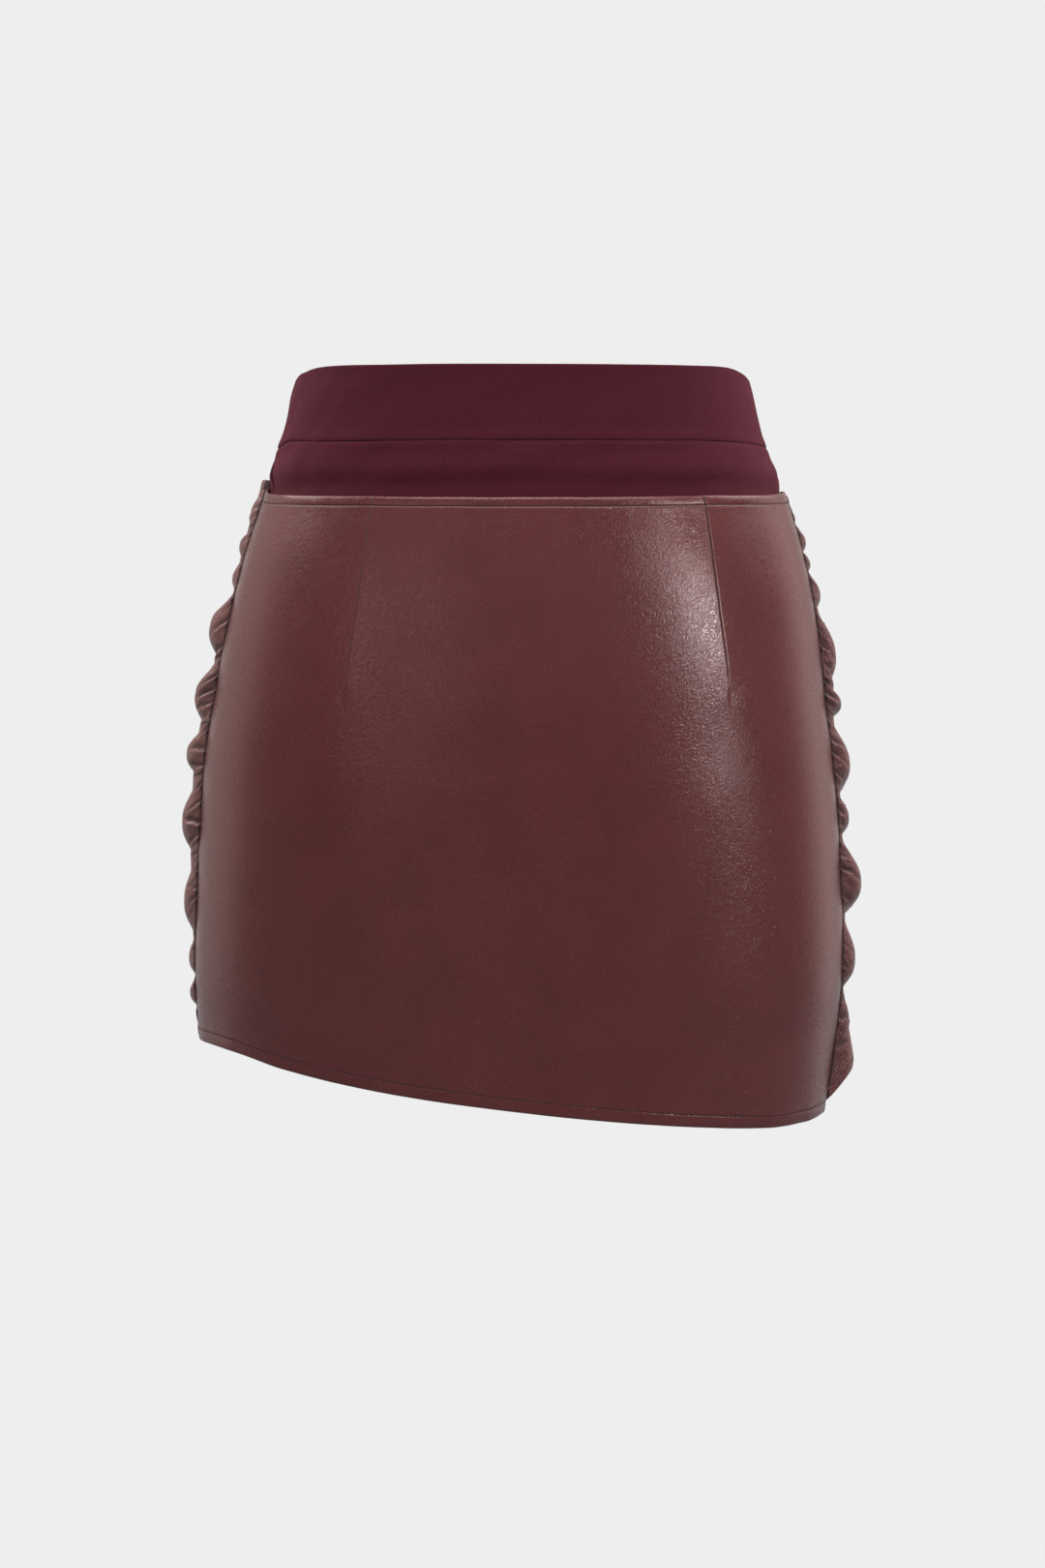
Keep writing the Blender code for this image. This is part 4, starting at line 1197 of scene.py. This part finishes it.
bandLines = [bandLineOn(backAngle), bandLineOn(frontAngle)]
bandThread = sewLine("bandSeamThread", bandLines, stitching["knit"], threadMaterial)


def sideLine(arc):
    top, hem = (backHeight(np.array([arc]), 1.0, 0.0)[n][0] for n in (1, 2))

    def pointAt(at, side):
        return backPoint(arc + side * 0.3, (at + sideEnd) / (top - hem), 0.0)[0]

    return top - hem - 2 * sideEnd, pointAt


# painted shadow: a dark matte cord along each side seam, for the shadow in its groove
sideShadowCord = sewLine("sideSeamShadowCord", [sideLine(0.0), sideLine(width)], stitching["side"], seamShadowMaterial)
print("skirt: stitches made")

sheets = {  # piece: nodes it stands for, slot, flat width and length in metres, area, how it is held
    back: (["back_panel"], "leather", (0.465, 0.358), 0.151, "hung"),
    front: (["front_panel"], "leather", (0.485, 0.386), 0.172, "gathered"),
    bandBack: (["waistband_back"], "knit", (0.336, 0.086), None, "folded"),
    bandFront: (["waistband_front"], "knit", (0.369, 0.086), None, "folded"),
    yokeBack: (["yoke_back"], "knit", (0.368, 0.068), 0.0216, "stretched"),
    yokeFront: (["yoke_front"], "knit", (0.452, 0.069), 0.0258, "stretched"),
}
for piece, (nodes, slot, flatSize, area, held) in sheets.items():
    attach(piece, "root")
    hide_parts(*nodes)
for piece in (topThread, hemThread, dartThread, sideShadowCord, bandThread):
    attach(piece, "root")
print("skirt: pieces joined to the frame")


# The camera, the pale floor and the light
studio = {
    "camera": (0.0, -3.18, -0.2236), "lens": 133.33, "sensor": 36.0, "farthest": 100,
    "pale": 0.855,  # how light the background is where the camera sees it
    "floorHeight": -0.70, "floorSize": 30.0, "floorLight": 0.44,
    "world": [  # share of the way from the camera's side to the far side, and light
        (0.0, (0.02, 0.016, 0.015)), (0.2, (0.09, 0.09, 0.09)), (0.3, (0.36, 0.36, 0.35)),
        (0.4, (0.33, 0.30, 0.29)), (0.55, (0.38, 0.304, 0.289)), (0.7, (0.42, 0.336, 0.319)),
        (0.87, (0.5, 0.4, 0.38)), (0.95, (0.58, 0.49, 0.46)), (0.999, (0.7, 0.62, 0.58)),
    ],
    "aim": (0, 0, -0.2),  # what the lights point at
    # name, degrees from the camera's side towards +X, degrees up, distance, size, brightness, colour
    "lights": [
        ("keyLight", 46.5, 14.3, 2.2, (0.32, 0.30), 47.0, (1, 1, 1)),
        ("fillLight", -39, 14, 2.2, (0.42, 0.7), 2.4, (1.0, 0.86, 0.92)),
        ("frontLight", -20, 14, 2.2, (0.4, 0.8), 0.8, (1, 1, 1)),
        ("leftLight", -107, 10, 2.4, (1.0, 1.6), 0.72, (1.0, 0.80, 0.75)),
        ("leftRim", -126, 10, 2.4, (0.8, 1.6), 0.4, (1.0, 0.76, 0.7)),
        ("rightRim", 124, 5, 2.4, (1.2, 2.0), 0.85, (1.0, 0.81, 0.76)),
        ("leftHigh", -108, 44, 2.4, (1.6, 1.4), 4.4, (1.0, 0.97, 0.94)),
        ("rightHigh", 106, 44, 2.4, (1.6, 1.4), 4.4, (1.0, 0.95, 0.95)),
        ("topLight", 0, 62, 2.6, (2.6, 1.2), 8.9, (1, 1, 1)),
        ("highFront", 0, 16.5, 2.6, (3.0, 0.9), 0.46, (0.9, 1.0, 1.0)),
    ],
}
camera = bpy.data.cameras.new("camera")
camera.lens, camera.sensor_width = studio["lens"], studio["sensor"]
camera.clip_end = studio["farthest"]
cameraObject = bpy.data.objects.new("camera", camera)
cameraObject.location, cameraObject.rotation_euler = studio["camera"], (math.pi / 2, 0, 0)
bpy.context.scene.collection.objects.link(cameraObject)
bpy.context.scene.camera = cameraObject
bpy.context.scene.view_settings.view_transform = "Standard"

floorGrid = bmesh.new()
bmesh.ops.create_grid(floorGrid, x_segments=8, y_segments=8, size=studio["floorSize"] / 2)
bmesh.ops.translate(floorGrid, verts=floorGrid.verts, vec=(0, 0, studio["floorHeight"]))
floorMesh = bpy.data.meshes.new("floor")
floorGrid.to_mesh(floorMesh)
floorGrid.free()
floor = bpy.data.objects.new("floor", floorMesh)
bpy.context.scene.collection.objects.link(floor)
floorMaterial = bpy.data.materials.new("floor")
floorMaterial.use_nodes = True
floorTree = floorMaterial.node_tree
floorTree.nodes.remove(floorTree.nodes["Principled BSDF"])
glow = addNode(floorTree, "ShaderNodeEmission", {"Color": (1, 1, 1, 1)})
floorSeen = floorTree.nodes.new("ShaderNodeLightPath").outputs["Is Camera Ray"]
extra = studio["pale"] - studio["floorLight"]
strength = sums(floorTree, "MULTIPLY_ADD", floorSeen, extra, studio["floorLight"])
floorTree.links.new(strength, glow.inputs["Strength"])
floorTree.links.new(glow.outputs[0], floorTree.nodes["Material Output"].inputs["Surface"])
floorMesh.materials.append(floorMaterial)

world = bpy.data.worlds.new("studio")
bpy.context.scene.world = world
world.use_nodes = True
worldTree = world.node_tree
worldTree.nodes.clear()
direction = worldTree.nodes.new("ShaderNodeTexCoord")
split = worldTree.nodes.new("ShaderNodeSeparateXYZ")
worldTree.links.new(direction.outputs["Generated"], split.inputs[0])
ramp = worldTree.nodes.new("ShaderNodeValToRGB")
for spot, light in studio["world"]:
    element = ramp.color_ramp.elements.new(spot) if spot > 0 else ramp.color_ramp.elements[0]
    element.position, element.color = spot, (*light, 1)
ramp.color_ramp.elements[-1].color = ramp.color_ramp.elements[-2].color
worldTree.links.new(sums(worldTree, "MULTIPLY_ADD", split.outputs["Y"], 0.5, 0.5), ramp.inputs["Fac"])
seen = worldTree.nodes.new("ShaderNodeLightPath")
around = addNode(worldTree, "ShaderNodeBackground", {"Strength": 1.0})
worldTree.links.new(ramp.outputs["Color"], around.inputs["Color"])
paleWall = {"Color": (1, 1, 1, 1), "Strength": studio["pale"]}
behind = addNode(worldTree, "ShaderNodeBackground", paleWall)
either = worldTree.nodes.new("ShaderNodeMixShader")
worldTree.links.new(seen.outputs["Is Camera Ray"], either.inputs[0])
worldTree.links.new(around.outputs[0], either.inputs[1])
worldTree.links.new(behind.outputs[0], either.inputs[2])
worldOut = worldTree.nodes.new("ShaderNodeOutputWorld")
worldTree.links.new(either.outputs[0], worldOut.inputs[0])


def softbox(name, turn, lift, distance, size, brightness, color):
    turn, lift = math.radians(turn), math.radians(lift)
    out = Vector((math.sin(turn) * math.cos(lift), -math.cos(turn) * math.cos(lift), math.sin(lift)))
    light = bpy.data.lights.new(name, "AREA")
    light.shape, light.size, light.size_y = "RECTANGLE", size[0], size[1]
    light.energy, light.color = brightness * math.pi * size[0] * size[1], color
    lamp = bpy.data.objects.new(name, light)
    lamp.location = Vector(studio["aim"]) + out * distance
    lamp.rotation_euler = (-out).to_track_quat("-Z", "Y").to_euler()
    lamp.visible_camera = False
    bpy.context.scene.collection.objects.link(lamp)


for light in studio["lights"]:
    softbox(*light)
print("skirt: studio made")
